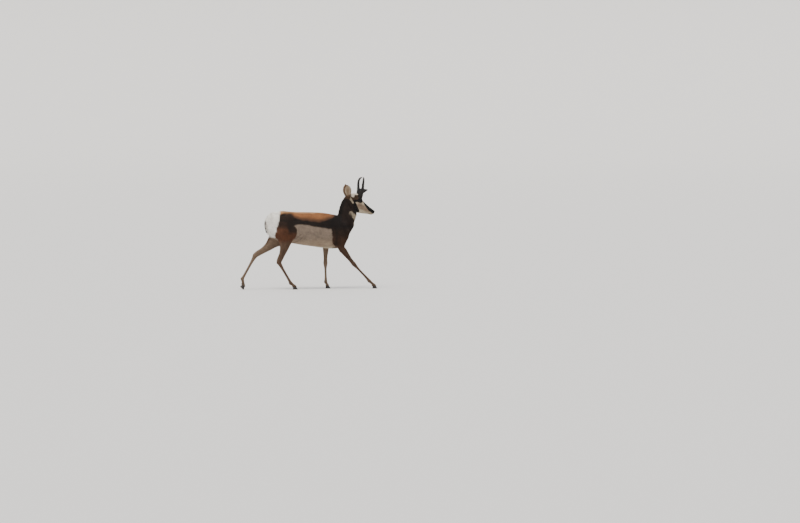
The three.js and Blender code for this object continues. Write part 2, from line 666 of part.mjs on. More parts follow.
// The body is modelled whole and parted by thin cuts, so that its pieces meet face to face.
const NECK_CUT = [[300, 880], [520, 742]];
const HEAD_CUT = [[372, 1072], [512, 858]];
let rest = withFace(flesh(0));
for (const one of Object.values(LEGS)) {
  rest = rest.subtract(underCoronet(hoofMatrix(one), 0));
}
for (const [name, one] of Object.entries(LEGS)) {
  place(`leg_${name}`, rest.intersect(legRoom(one, -GAP / 2)), 'brown');
  rest = rest.subtract(legRoom(one, GAP / 2));
  place(`hoof_${name}_outer`, claw(one, one.side), 'claw');
  place(`hoof_${name}_inner`, claw(one, -one.side), 'claw');
}
place('head', rest.intersect(beyond(...HEAD_CUT, GAP / 2)), 'black');
const trunkAndNeck = rest.subtract(beyond(...HEAD_CUT, -GAP / 2));
place('neck', trunkAndNeck.intersect(beyond(...NECK_CUT, GAP / 2)), 'brown');
place('torso', trunkAndNeck.subtract(beyond(...NECK_CUT, -GAP / 2)), 'tan');

const grown = flesh(GAP);
for (const [name, side] of Object.entries(SIDES)) {
  place(`horn_${name}`, horn(side).subtract(grown), 'black');
  place(`ear_${name}`, ear(EARS[name]).subtract(grown), 'brown');
  const eyeball = ball([-EYE.back, side * EYE.out, EYE.up], Array(3).fill(EYE.radius), 18);
  place(`eye_${name}`, moved(eyeball, headMatrix), 'eye');
}
place('tail', tail().subtract(grown), 'cream');

// The floor is at z = 0 and the middle of the length and width is at the origin.
const middle = new THREE.Box3().setFromObject(pronghorn).getCenter(new THREE.Vector3());
pronghorn.position.set(-middle.x, -middle.y, 0);

export default pronghorn;
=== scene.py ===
import math

import bmesh
import bpy
import numpy as np
from mathutils import Matrix, Vector
from mathutils.bvhtree import BVHTree


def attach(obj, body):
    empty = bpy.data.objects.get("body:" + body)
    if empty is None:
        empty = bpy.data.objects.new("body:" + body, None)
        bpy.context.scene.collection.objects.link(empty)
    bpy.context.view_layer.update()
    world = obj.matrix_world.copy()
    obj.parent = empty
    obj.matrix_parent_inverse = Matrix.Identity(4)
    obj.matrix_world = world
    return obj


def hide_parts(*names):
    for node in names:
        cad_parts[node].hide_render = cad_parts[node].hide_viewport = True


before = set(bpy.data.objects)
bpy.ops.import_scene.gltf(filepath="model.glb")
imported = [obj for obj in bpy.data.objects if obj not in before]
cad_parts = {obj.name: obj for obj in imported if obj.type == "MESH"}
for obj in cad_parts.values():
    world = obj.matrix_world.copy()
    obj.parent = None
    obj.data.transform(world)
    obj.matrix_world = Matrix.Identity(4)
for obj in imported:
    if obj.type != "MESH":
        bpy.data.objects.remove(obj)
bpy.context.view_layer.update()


# The studio: one pale floor that rises far away into a low round wall, lit by a wide soft sky
# panel and a pale surround. The camera stands sixty metres off on the buck's right, a little
# behind it. Sizes here are in metres.
FLOOR_RINGS = [(20.0, 0.0), (60.0, 0.0), (68.0, 1.2), (73.0, 5.0), (75.0, 12.0), (75.0, 26.0)]
FLOOR_SIDES = 96
FLOOR_COLOUR = (0.80, 0.785, 0.76, 1.0)
LOOK_AT = Vector((1.0212, -0.273, 0.319))
SIGHT_TURN, SIGHT_RISE, SIGHT_LENGTH = math.radians(-15), math.radians(2.5), 60.0
PICTURE_WIDTH = 9.28  # across the picture at the buck: 800 pixels of 11.6 mm
FILM_WIDTH = 36


def show(name, data):
    thing = bpy.data.objects.new(name, data)
    bpy.context.scene.collection.objects.link(thing)
    return thing


def join(tree, node, sockets):
    """Sets a node's sockets to plain values, or joins them to the outputs of other nodes."""
    for socket, value in sockets.items():
        if isinstance(value, bpy.types.NodeSocket):
            tree.links.new(value, node.inputs[socket])
        else:
            node.inputs[socket].default_value = value


def new_finish(name, sockets):
    """A material, its tree and its surface with the given sockets."""
    finish = bpy.data.materials.new(name)
    finish.use_nodes = True
    surface = finish.node_tree.nodes["Principled BSDF"]
    join(finish.node_tree, surface, sockets)
    return finish, finish.node_tree, surface


floor_points = [(0.0, 0.0, 0.0)]
floor_faces = []
for ring, (radius, height) in enumerate(FLOOR_RINGS):
    for k in range(FLOOR_SIDES):
        angle = 2 * math.pi * k / FLOOR_SIDES
        floor_points.append((radius * math.cos(angle), radius * math.sin(angle), height))
        a, b = (1 + ring * FLOOR_SIDES + side for side in (k, (k + 1) % FLOOR_SIDES))
        floor_faces.append((a - FLOOR_SIDES, a, b, b - FLOOR_SIDES) if ring else (0, a, b))
floor_mesh = bpy.data.meshes.new("studio_floor")
floor_mesh.from_pydata(floor_points, [], floor_faces)
floor_mesh.shade_smooth()
floor_mesh.materials.append(new_finish("studio_paper", {
    "Base Color": FLOOR_COLOUR, "Roughness": 0.9, "Specular IOR Level": 0.1})[0])
floor = show("studio_floor", floor_mesh)

surround = bpy.data.worlds.new("pale_surround")
surround.use_nodes = True
join(surround.node_tree, surround.node_tree.nodes["Background"],
     {"Color": (0.93, 0.95, 1.0, 1.0), "Strength": 0.9})
bpy.context.scene.world = surround

panel = bpy.data.lights.new("sky_panel", "SUN")
panel.energy = 3.0
panel.angle = math.radians(38)
panel.color = (1.0, 0.97, 0.92)
show("sky_panel", panel).rotation_euler = Vector((-0.3, -0.32, 1.0)).to_track_quat("Z", "Y").to_euler()

lens = bpy.data.cameras.new("camera")
lens.lens = FILM_WIDTH * SIGHT_LENGTH / PICTURE_WIDTH
lens.sensor_width = FILM_WIDTH
lens.clip_start = 1.0
lens.clip_end = 400.0
camera = show("camera", lens)
sight = Vector((math.sin(SIGHT_TURN) * math.cos(SIGHT_RISE), -math.cos(SIGHT_TURN) * math.cos(SIGHT_RISE),
                math.sin(SIGHT_RISE)))
camera.location = LOOK_AT + sight * SIGHT_LENGTH
camera.rotation_euler = sight.to_track_quat("Z", "Y").to_euler()
bpy.context.scene.camera = camera


# The body form: the mannequin under the coat, with trunk, neck, head, legs and tail as one skin
# that has no seams. It is cast from the flesh solids, eased smooth, taken in by the depth of the
# hair, then modelled with listed soft forms and lines.
FORWARD = 37.5  # from here on, sizes are in millimetres, from a point this far behind the middle
FLESH = ["torso", "neck", "head", "tail", "leg_fore_right", "leg_fore_left", "leg_hind_right",
         "leg_hind_left"]
TORSO, NECK, HEAD, TAIL, FORE_RIGHT, FORE_LEFT, HIND_RIGHT, HIND_LEFT = range(8)
FORE_LEGS = (FORE_RIGHT, FORE_LEFT)
SKIN_GRAIN, BRIDGE = 0.0044, 0.0006  # in metres: the squares of the skin, half the gap of the solids

NECK_PIVOT = Vector((450, 0, 1000))
NOSE = Vector((757, 0, 883))
HEAD_SIDEWAYS, HEAD_DOWN = math.radians(6.5), math.radians(28)
AT_NECK = Matrix.Translation(NECK_PIVOT) @ Matrix.Rotation(HEAD_SIDEWAYS, 4, "Z")
HEAD_PLACE = AT_NECK @ Matrix.Translation(NOSE - NECK_PIVOT) @ Matrix.Rotation(HEAD_DOWN, 4, "Y")
HEAD_TURN = AT_NECK @ Matrix.Translation(-NECK_PIVOT)

# The chains of joints that the legs follow, from the shoulder or hip down to the foot.
FOOT_HEIGHT = 34
JOINTS = {
    FORE_RIGHT: [(345, -78, 770), (375, -82, 650), (358, -82, 560), (325, -80, 486), (482, -74, 286),
                 (668, -72, 92), (728, -72, FOOT_HEIGHT)],
    FORE_LEFT: [(325, 78, 775), (318, 82, 690), (258, 82, 614), (189, 80, 545), (179, 74, 296),
                (184, 72, 78), (202, 72, FOOT_HEIGHT)],
    HIND_RIGHT: [(-400, -66, 770), (-285, -78, 600), (-411, -72, 313), (-270, -70, 76),
                 (-224, -70, FOOT_HEIGHT)],
    HIND_LEFT: [(-400, 66, 770), (-365, 78, 560), (-662, 72, 388), (-812, 70, 124), (-800, 70, 46)],
}


def in_space(points, matrix):
    matrix = np.array(matrix)
    return points @ matrix[:3, :3].T + matrix[:3, 3]


def to_metres(points):
    return (points + (FORWARD, 0, 0)) / 1000


def mirrored(points):
    """The same points, with those of the right side moved over to the left."""
    return points * (1, 0, 1) + np.abs(points) * (0, 1, 0)


# What each part follows: its chain, and the side of it that faces out or up.
head_chain = in_space(np.array([(-372.0, 0, 4), (-260, 0, -12), (-120, 0, -24), (0, 0, -6)]), HEAD_PLACE)
BONES = {
    TORSO: ([(-560, 0, 752), (-300, 0, 706), (130, 0, 656), (300, 0, 660), (500, 0, 750)], (0, 0, 1)),
    NECK: ([(400, 0, 690), (424, 0, 900), (438, 0, 1075)], (-1, 0, 0)),
    HEAD: (head_chain, np.array(HEAD_PLACE)[:3, 2]),
    TAIL: ([(-515, 0, 850), (-545, 0, 800), (-552, 0, 650)], (-1, 0, 0)),
    FORE_RIGHT: (JOINTS[FORE_RIGHT], (0, -1, 0)), FORE_LEFT: (JOINTS[FORE_LEFT], (0, 1, 0)),
    HIND_RIGHT: (JOINTS[HIND_RIGHT], (0, -1, 0)), HIND_LEFT: (JOINTS[HIND_LEFT], (0, 1, 0)),
}


def follow(points, chain, outward):
    """Length along a chain, angle round it, distance from it and its direction."""
    chain = np.array(chain, float)
    nearest = np.full(len(points), np.inf)
    length, angle, radius = np.zeros((3, len(points)))
    direction = np.zeros((len(points), 3))
    start = 0.0
    for a, b in zip(chain[:-1], chain[1:]):
        size = np.linalg.norm(b - a)
        axis = (b - a) / size
        t = np.clip((points - a) @ axis, 0, size)
        off = points - a - t[:, None] * axis
        apart = np.linalg.norm(off, axis=1)
        up = np.array(outward, float) - np.dot(outward, axis) * axis
        up /= np.linalg.norm(up)
        side = np.cross(axis, up)
        won = apart < nearest
        nearest[won] = apart[won]
        length[won] = (start + t)[won]
        angle[won] = np.arctan2(off @ side, off @ up)[won]
        radius[won] = np.hypot(off @ side, off @ up)[won]
        direction[won] = axis
        start += size
    return length, angle, radius, direction


def leg_thickness(points, number):
    return follow(points, JOINTS[number], (0, 1, 0))[2]


def numbers_of(items, field, width, kind=np.float32):
    values = np.empty(len(items) * width, kind)
    items.foreach_get(field, values)
    return values.reshape(-1, width)


def mesh_points(mesh):
    return numbers_of(mesh.vertices, "co", 3).astype(float)


def mesh_normals(mesh):
    return numbers_of(mesh.vertex_normals, "vector", 3).astype(float)


def mesh_edges(mesh):
    return numbers_of(mesh.edges, "vertices", 2, np.int32)


def in_millimetres(mesh):
    return mesh_points(mesh) * 1000 - (FORWARD, 0, 0)


def set_points(mesh, points):
    mesh.vertices.foreach_set("co", np.ascontiguousarray(points, np.float32).ravel())
    mesh.update()


def neighbours_mean(values, edges, count):
    total = np.empty_like(values)
    ends = np.concatenate([edges[:, 0], edges[:, 1]])
    others = np.concatenate([edges[:, 1], edges[:, 0]])
    for k in range(values.shape[1]):
        total[:, k] = np.bincount(ends, weights=values[others, k], minlength=len(values))
    return total / count


def eased(values, edges, rounds, keep_size=False):
    """Evens out values over the mesh. The number of rounds may differ from point to point."""
    share = 0.5
    count = np.maximum(np.bincount(edges.ravel(), minlength=len(values)), 1)[:, None]
    rounds = np.broadcast_to(np.asarray(rounds, float), (len(values),))
    for turn in range(int(math.ceil(rounds.max()))):
        part = np.clip(rounds - turn, 0, 1)[:, None]
        values = values + part * share * (neighbours_mean(values, edges, count) - values)
        if keep_size:
            values = values - part * (share + 0.02) * (neighbours_mean(values, edges, count) - values)
    return values


def step(value, low, high):
    """Rises smoothly from 0 at low to 1 at high, or falls where low is the larger."""
    t = np.clip((value - low) / (high - low), 0, 1)
    return t * t * (3 - 2 * t)


def bell(value, width):
    return np.exp(-(value / width) ** 2)


def put(name, mesh, slot, *nodes):
    """A finished piece: in the scene, on the body, and with the solids it stands for hidden; its slot is not
    used.
    """
    piece = show(name, mesh)
    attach(piece, "root")
    if nodes:
        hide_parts(*nodes)
    return piece


def cast(name, sources, grain):
    """One closed mesh over the outside of several meshes, in squares of one size."""
    form = bmesh.new()
    for source in sources:
        start = len(form.verts)
        form.from_mesh(source)
        form.verts.ensure_lookup_table()
        bmesh.ops.remove_doubles(form, verts=form.verts[start:], dist=1e-6)
    form.normal_update()
    for vert in form.verts:
        vert.co += vert.normal * BRIDGE
    rough = bpy.data.meshes.new(name)
    form.to_mesh(rough)
    form.free()
    holder = show(name, rough)
    caster = holder.modifiers.new("cast", "REMESH")
    caster.mode = "VOXEL"
    caster.voxel_size = grain
    bpy.context.view_layer.update()
    ready = bpy.data.meshes.new_from_object(holder.evaluated_get(bpy.context.evaluated_depsgraph_get()))
    bpy.data.objects.remove(holder)
    bpy.data.meshes.remove(rough)
    return ready


def labels_of(mesh):
    """For each point of a mesh in metres, which of the flesh solids has the nearest surface."""
    corners, faces, owner = [], [], []
    for number, node in enumerate(FLESH):
        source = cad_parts[node].data
        offset = len(corners)
        corners.extend(vertex.co for vertex in source.vertices)
        for polygon in source.polygons:
            faces.append([offset + i for i in polygon.vertices])
            owner.append(number)
    tree = BVHTree.FromPolygons(corners, faces)
    return np.array([owner[tree.find_nearest(point)[2]] for point in mesh_points(mesh).tolist()])


skin_mesh = cast("skin", [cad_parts[name].data for name in FLESH], SKIN_GRAIN)
skin_edges = mesh_edges(skin_mesh)
part = labels_of(skin_mesh)
points = in_millimetres(skin_mesh)

# Long facets of the trunk and neck need much easing, slim legs and the face little.
rounds = np.where(part == HEAD, 5.0, np.where(part == TAIL, 10.0, 70.0))
for number in JOINTS:
    mine = part == number
    rounds[mine] = np.interp(leg_thickness(points[mine], number), [14, 22, 45, 80], [5, 7, 22, 60])
rounds = eased(rounds[:, None], skin_edges, 12)[:, 0]
points = eased(points, skin_edges, rounds, keep_size=True)

# Where neck, chest and shoulder run together, at the groins and the armpits, flesh fills the
# corners. Each is a middle and a half size in the side view.
CHEST_CORNER = ((385, 760), (120, 130))
GROINS = [((-430, 590), (90, 60)), ((-180, 570), (60, 60))]
ARMPIT = ((290, 500), (110, 50))


def spot_in_side(points, middle, half):
    return np.exp(-((points[:, 0] - middle[0]) / half[0]) ** 2 - ((points[:, 2] - middle[1]) / half[1]) ** 2)


hollows = sum(spot_in_side(points, *groin) for groin in GROINS) + spot_in_side(points, *ARMPIT)
filled = 110 * spot_in_side(points, *CHEST_CORNER) + 45 * np.clip(hollows, 0, 1)
points = eased(points, skin_edges, filled)


def hoof_place(leg, tip):
    """The space of a foot, from the middle of its sole, tipped about the end of the leg's chain."""
    return (Matrix.Translation(JOINTS[leg][-1]) @ Matrix.Rotation(math.radians(tip), 4, "Y")
            @ Matrix.Translation((0, 0, -FOOT_HEIGHT)))


TOE_TIP = 45  # degrees: the far hind foot is about to leave the ground
HOOVES = {leg: hoof_place(leg, TOE_TIP if leg == HIND_LEFT else 0) for leg in JOINTS}

# The depth of the hair on each part.
depth = np.select([part == HEAD, part == NECK, part == TORSO, part == TAIL], [1.2, 7.0, 6.5, 8.0], 3.0)
for number in JOINTS:
    mine = part == number
    over_sole = in_space(points[mine], HOOVES[number].inverted())[:, 2]
    by_thickness = np.interp(leg_thickness(points[mine], number), [14, 30, 60, 90], [1.5, 2.2, 4.5, 6.5])
    depth[mine] = by_thickness * step(over_sole, 30, 52)
depth = np.where((points[:, 0] < -400) & (part == TORSO), 9.0, depth)
depth = eased(depth[:, None], skin_edges, 14)
set_points(skin_mesh, points)
points = points - mesh_normals(skin_mesh) * depth


def swell(points, centre, radii, height):
    """A soft rise or hollow on both sides of the body."""
    off = (mirrored(points) - centre) / radii
    return height * np.exp(-(off[:, 0] ** 2 + off[:, 1] ** 2 + off[:, 2] ** 2))


def gap_to_line(points, start, end):
    start, axis = np.array(start, float), np.array(end, float) - start
    t = np.clip((points - start) @ axis / (axis @ axis), 0, 1)
    return np.linalg.norm(points - start - t[:, None] * axis, axis=1)


def ridge(points, start, end, width, height):
    """A soft line, raised or sunk, on both sides of the body."""
    return height * bell(gap_to_line(mirrored(points), start, end), width)


# Muscles and bones under the skin: middle, half sizes and height of each soft form.
BODY_FORMS = [
    ((-352, 104, 640), (52, 40, 84), 4.0), ((-255, 112, 660), (34, 40, 60), 3.5),
    ((-292, 98, 846), (36, 30, 30), 7.0), ((-222, 110, 800), (58, 45, 46), -7.0),
    ((-498, 62, 836), (30, 26, 30), 5.0), ((-385, 100, 800), (46, 36, 44), -3.5),
    ((-310, 118, 690), (70, 50, 90), 5.0), ((-470, 80, 690), (40, 45, 80), 3.0),
    ((-185, 118, 612), (62, 40, 34), 6.0), ((300, 108, 610), (52, 40, 60), 5.0),
    ((388, 88, 672), (34, 34, 36), 4.0), ((232, 118, 690), (34, 50, 90), -4.5),
    ((60, 140, 640), (190, 60, 110), 4.0), ((430, 60, 760), (50, 34, 50), 4.0),
    ((420, 0, 560), (60, 40, 60), 3.0),
]
# Folds, tendons and muscle edges: the two ends, width and height of each soft line.
BODY_LINES = [
    ((-214, 104, 566), (-128, 128, 634), 15, 3.4), ((-196, 100, 540), (-104, 118, 606), 16, -2.4),
    ((-196, 114, 610), (-140, 126, 662), 16, -1.6), ((248, 112, 700), (262, 108, 540), 14, -4.0),
    ((330, 108, 700), (318, 100, 560), 20, 3.0), ((-300, 112, 800), (-372, 104, 640), 22, 2.5),
    ((300, 92, 832), (382, 104, 664), 16, 3.5), ((342, 88, 838), (418, 96, 690), 16, -2.0),
    ((-408, 104, 756), (-392, 96, 560), 15, -4.0), ((-336, 112, 640), (-268, 104, 560), 13, -2.5),
    ((330, 112, 590), (292, 104, 520), 12, -3.0), ((352, 76, 1000), (430, 86, 760), 22, 2.5),
    ((420, 62, 1010), (492, 62, 800), 14, -3.0), ((455, 48, 985), (520, 44, 800), 16, 2.5),
    ((-552, 31, 806), (-552, 29, 664), 11, -6.0),
]
RIB_SPACING, RIB_LEAN, RIB_HEIGHT = 36, 0.35, 0.9
RELIEF = 1.6  # all these forms are made this much stronger


def body_relief(points):
    rise = sum(swell(points, *form) for form in BODY_FORMS)
    rise = rise + sum(ridge(points, *line) for line in BODY_LINES)
    ribs = np.sin((points[:, 0] + RIB_LEAN * (points[:, 2] - 640)) / RIB_SPACING * 2 * math.pi)
    cage = step(points[:, 0], -170, -60) * (1 - step(points[:, 0], 120, 210))
    cage = cage * step(points[:, 2], 530, 600) * (1 - step(points[:, 2], 740, 800))
    return rise + RIB_HEIGHT * ribs * cage


def limb_relief(points, number):
    """Knees, hocks and fetlocks, and the groove between bone and tendon."""
    chain = np.array(JOINTS[number], float)
    reached, angle = follow(points, chain, (1, 0, 0))[:2]
    marks = np.concatenate([[0], np.cumsum(np.linalg.norm(np.diff(chain, axis=0), axis=1))])
    knee, fetlock = marks[4:6] if number in FORE_LEGS else marks[2:4]
    cannon = step(reached, knee + 40, knee + 80) * (1 - step(reached, fetlock - 40, fetlock - 12))
    groove = -1.7 * cannon * bell(np.abs(angle) - 1.75, 0.32)
    joint = 2.0 * bell(reached - knee, 24) * (0.4 + 0.6 * np.abs(np.sin(angle)))
    ankle = 2.2 * bell(reached - fetlock, 17) * np.clip(-np.cos(angle), 0, 1)
    return groove + joint + ankle


normals = mesh_normals(skin_mesh)
fleshy = eased(((part != HEAD) & (part != TAIL)).astype(float)[:, None], skin_edges, 16)[:, 0]
relief = body_relief(points) * fleshy
for number in JOINTS:
    mine = part == number
    relief[mine] += limb_relief(points[mine], number)
points = points + normals * (RELIEF * eased(relief[:, None], skin_edges, 3))
set_points(skin_mesh, points)


# The face: finer than the body, with orbits and lids round the eyeballs, cheekbones, a straight
# nose with comma nostrils, and a closed mouth. The skin there is cut into smaller squares.
# Places in the face are measured from the tip of the nose.
EYE = {"back": 244.0, "out": 48.5, "up": 26.0, "radius": 20.0}
EYE_MIDDLE = np.array((-EYE["back"], EYE["out"], EYE["up"]))
OPENING = {"half_length": 19.0, "upper": 12.5, "lower": 9.5, "slope": math.radians(-14)}
NOSTRIL = np.array([(-0.5, 8.5, -6.5), (-0.5, 15, -0.5), (-7, 23.5, 4.5), (-18, 29, 6.5)])
NOSTRIL_WIDTHS, NOSTRIL_DEPTH = (3.0, 4.2, 3.0), 7.5
NOSE_WING = (-12, 22, 9)
MOUTH_CORNER = 76.0


def mouth_height(back):
    return -19 - 0.16 * back + 1.6 * np.sin(np.clip(back, 0, MOUTH_CORNER) / MOUTH_CORNER * math.pi * 1.6)


def finer(form, chosen):
    edges = {edge for face in form.faces if chosen(face.calc_center_median()) for edge in face.edges}
    bmesh.ops.subdivide_edges(form, edges=list(edges), cuts=1, use_grid_fill=True, smooth=0.6)


to_head = HEAD_PLACE.inverted()


def near_face(centre):
    place = to_head @ centre
    return -330 < place.x < 20 and abs(place.y) < 90 and -130 < place.z < 110


def near_features(centre):
    place = to_head @ centre
    side = Vector((place.x, abs(place.y), place.z))
    eye = (side - Vector(EYE_MIDDLE)).length < 34
    nose = -place.x < 26
    lips = -place.x < 86 and abs(place.z - mouth_height(-place.x)) < 9
    return eye or nose or lips


form = bmesh.new()
form.from_mesh(skin_mesh)
finer(form, near_face)
finer(form, near_features)
bmesh.ops.triangulate(form, faces=[face for face in form.faces if len(face.verts) > 4])
form.to_mesh(skin_mesh)
form.free()
points = mesh_points(skin_mesh)
skin_edges = mesh_edges(skin_mesh)
place = in_space(points, to_head)
facing = step(-place[:, 0], 345, 300) * (np.abs(place[:, 1]) < 95) * (np.abs(place[:, 2]) < 135)
points = eased(points, skin_edges, 5 * facing, keep_size=True)
set_points(skin_mesh, points)

# Soft forms and lines of the head, listed as those of the body.
FACE_FORMS = [
    ((-212, 52, -10), (34, 14, 10), 3.4), ((-178, 41, 16), (26, 16, 14), -4.2),
    ((-225, 54, -62), (40, 22, 30), 2.6), ((-292, 50, 52), (26, 20, 22), -4.5),
    ((-120, 34, -8), (44, 14, 14), -2.4), ((-150, 0, 44), (60, 14, 10), 1.5),
    ((-34, 26, -36), (24, 12, 9), 2.0), ((-24, 0, -44), (22, 16, 10), 2.2),
    ((-252, 40, 62), (30, 16, 14), 3.0), ((-150, 40, -62), (50, 20, 16), -2.2),
    ((-276, 0, 84), (30, 22, 14), 1.8),
]
FACE_LINES = [
    ((-196, 50, -2), (-286, 60, 10), 8, 2.2), ((-110, 33, -34), (-200, 50, -44), 9, 1.6),
    ((-60, 22, 22), (-190, 32, 40), 7, 1.2), ((-226, 50, 19), (-206, 44, 8), 3.5, -1.8),
    ((-150, 40, -14), (-215, 55, -34), 12, -1.6), ((-268, 52, 44), (-232, 50, 56), 8, 1.8),
]


def nostril_gap(both, widths):
    """How far points are from the slit of the nostril, as shares of its half widths."""
    gap = np.full(len(both), 99.0)
    for a, b, wide in zip(NOSTRIL[:-1], NOSTRIL[1:], widths):
        gap = np.minimum(gap, gap_to_line(both, a, b) / wide)
    return gap


place = in_space(points, to_head)
both = mirrored(place)
back = -place[:, 0]
rise = sum(swell(place, *one) for one in FACE_FORMS) + sum(ridge(place, *one) for one in FACE_LINES)
lip_gap = place[:, 2] - mouth_height(np.clip(back, 2, MOUTH_CORNER))
in_mouth = (1 - step(back, MOUTH_CORNER - 8, MOUTH_CORNER)) * (back < MOUTH_CORNER + 4)
rise = rise + in_mouth * (1.5 * bell(np.abs(lip_gap) - 5, 3) - 2.4 * bell(lip_gap, 1.3))
rise = rise + 1.8 * bell(np.linalg.norm(both - NOSE_WING, axis=1), 8)
rise = rise - NOSTRIL_DEPTH * np.clip(1 - nostril_gap(both, NOSTRIL_WIDTHS) ** 2, 0, 1)
points = points + mesh_normals(skin_mesh) * (rise * facing)[:, None]
place = in_space(points, to_head)

# The lids lie on the ball round an almond opening, with a fold, and run out into the orbit.
lid_line = np.full(len(points), 9.0)
slope_c, slope_s = math.cos(OPENING["slope"]), math.sin(OPENING["slope"])
for side in (-1, 1):
    centre = EYE_MIDDLE * (1, side, 1)
    off = (place - centre) * (1, side, 1)
    reach = np.linalg.norm(off, axis=1)
    u, v = off[:, 0] * slope_c + off[:, 2] * slope_s, -off[:, 0] * slope_s + off[:, 2] * slope_c
    high = np.where(v > 0, OPENING["upper"], OPENING["lower"])
    share = (u / OPENING["half_length"]) ** 2 + np.abs(v) / high
    outer = (off[:, 1] > -4) & (reach < 44)
    blend = step(share, 1.0, 2.3)
    fold = 1.1 * bell(share - 1.55, 0.16) * (v > -4)
    lid = np.where(share < 0.98, 16.5, EYE["radius"] + 2.6 + 1.2 * step(share, 1.0, 1.3) - fold)
    wanted = lid * (1 - blend) + reach * blend
    wanted = np.where(share > 0.98, np.maximum(wanted, np.minimum(reach, 26)), wanted)
    moved = centre + (off / np.maximum(reach, 1)[:, None] * wanted[:, None]) * (1, side, 1)
    place = np.where(outer[:, None], moved, place)
    lid_line = np.where(outer, np.minimum(lid_line, share), lid_line)
set_points(skin_mesh, to_metres(in_space(place, HEAD_PLACE)))
skin_mesh.shade_smooth()
part = labels_of(skin_mesh)
points = in_millimetres(skin_mesh)
normals = mesh_normals(skin_mesh)


# The markings: one set of coat colours for the skin and for every tuft on it, worked out from
# where a hair grows. The back is tan over a dark stripe, side and belly are pale, the rump is
# white, and the dark neck has a pale band over the throat. Light and shade are also painted into
# these colours. The tan is painted lighter along the top of the back and darker low down. The
# dark stripe is partly painted shade. Painted shade lies on the upper cheek, under the chin, in
# the grooves beside the tail and on the backs of the shanks, and a painted highlight runs down
# the front of the shanks.
def linear(*colour):
    share = np.array(colour) / 255
    return np.where(share <= 0.04045, share / 12.92, ((share + 0.055) / 1.055) ** 2.4)


# The tan, with a painted-light copy for the top of the back and a painted-shade copy for low on it.
TAN, TAN_PAINTED_LIGHT, TAN_PAINTED_SHADE = linear(152, 101, 64), linear(196, 148, 103), linear(88, 60, 42)
STRIPE, HIP = linear(28, 20, 15), linear(46, 32, 24)
SIDE, BELLY, BELLY_SHADE = linear(136, 120, 105), linear(154, 134, 114), linear(96, 80, 68)
THIGH, SHANK = linear(84, 51, 32), linear(92, 71, 56)
DUST, INSIDE_LEG = linear(98, 80, 64), linear(116, 97, 80)
SHOULDER, SHOULDER_LOW = linear(40, 26, 17), linear(62, 40, 27)
NAPE, NECK_BROWN = linear(19, 13, 11), linear(32, 22, 17)
RUMP, TAIL_GREY, CREAM = linear(236, 230, 220), linear(112, 96, 84), linear(180, 165, 142)
# The cheek colour here is a painted shade for the upper cheek.
MASK, FACE_TAN, CHEEK_PAINTED_SHADE = linear(14, 11, 10), linear(60, 43, 31), linear(128, 108, 91)
CROWN, NOSE_SKIN, EAR_FOOT = linear(214, 202, 184), linear(16, 13, 12), linear(76, 56, 41)

# The edges of the markings in the side view, each as stations and the edge's place at them.
TAN_FOOT = ([-376, -340, -306, -288, -262, -230, -200, -150, -100, -50, 0, 50, 100, 150, 200, 280],
            [858, 876, 868, 861, 873, 848, 820, 808, 796, 803, 793, 785, 779, 785, 805, 838])
STRIPE_FOOT = ([-300, -200, -100, -50, 0, 50, 100, 150, 200, 240],
               [742, 742, 751, 755, 746, 736, 726, 716, 706, 700])
THIGH_FRONT = ([480, 560, 600, 650, 700, 745], [-252, -236, -206, -184, -181, -192])
SHOULDER_BACK = ([440, 500, 560, 640, 700, 740, 850], [292, 270, 248, 241, 238, 210, 262])
NAPE_EDGE = ([820, 850, 905, 955, 1005, 1048], [318, 308, 318, 333, 352, 378])
RUMP_EDGE = ([590, 620, 650, 700, 750, 800, 830, 915], [-452, -446, -436, -420, -396, -382, -376, -372])
# The top line of the face and how far the black band reaches below it, from the nose back.
FACE_TOP = ([0, 17, 40, 72, 105, 135, 165, 195, 225, 255, 285, 345],
            [7, 18, 21, 25, 31, 37, 43, 51, 64, 80, 90, 70])
NOSE_BAND = ([20, 70, 109, 161, 192], [42, 42, 39, 28, 8])
CHEEK_PATCH = {"middle": (524, 932), "across": (0.967, 0.254), "half_long": 84, "half_wide": 29}
THROAT_BAR = ((468, 878), (560, 806))
SIDE_SHIFT = 0.268  # how far forward a mark on the near side seems, for each millimetre it stands out

WAVE_SIZES = ((62, 1.0), (47, 0.8), (30, 0.6), (21, 0.5), (13, 0.35), (9, 0.28), (6, 0.2))
chance = np.random.default_rng(11)
WAVES = [(chance.normal(size=3) / size, chance.uniform(0, 6.28), height)
         for size, height in WAVE_SIZES for _ in range(3)]


def wander(points, seed=0.0):
    """A soft uneven value between about -1 and 1 that varies from place to place."""
    total = sum(height * np.sin(points @ wave + phase + seed * (k + 1.7))
                for k, (wave, phase, height) in enumerate(WAVES))
    return total / 2.6


def over(base, *coats):
    """Lays coats of colour over a base, each with the share of it that shows."""
    for colour, share in coats:
        base = base + (np.asarray(colour) - base) * np.clip(share, 0, 1)[:, None]
    return base


def plain(colour, p):
    return np.repeat(colour[None], len(p), 0)


def near_line(x, z, start, end):
    """How far points of the side view are from a line in it."""
    start, along = np.array(start, float), np.array(end, float) - start
    t = np.clip(((x - start[0]) * along[0] + (z - start[1]) * along[1]) / (along @ along), 0, 1)
    return np.hypot(x - start[0] - t * along[0], z - start[1] - t * along[1])


def thigh_colours(p, x, z):
    # The dark top of the thigh carries on the flank's dark stripe. It is partly the coat's own dark brown
    # and partly painted shade.
    dark = [(SHANK, step(z, 590, 520)), (STRIPE, 0.92 * step(x, -300, -262) * step(z, 630, 690)),
            (STRIPE, 0.85 * step(z, 690, 756))]
    return over(plain(THIGH, p), *dark)


def shoulder_colours(p, x, z):
    dark = [(SHOULDER, step(z, 560, 670)), (STRIPE, 0.5 * step(np.abs(x - 300), 26, 8) * step(z, 480, 520)),
            (NAPE, step(z, 660, 740))]
    return over(plain(SHOULDER_LOW, p), *dark)


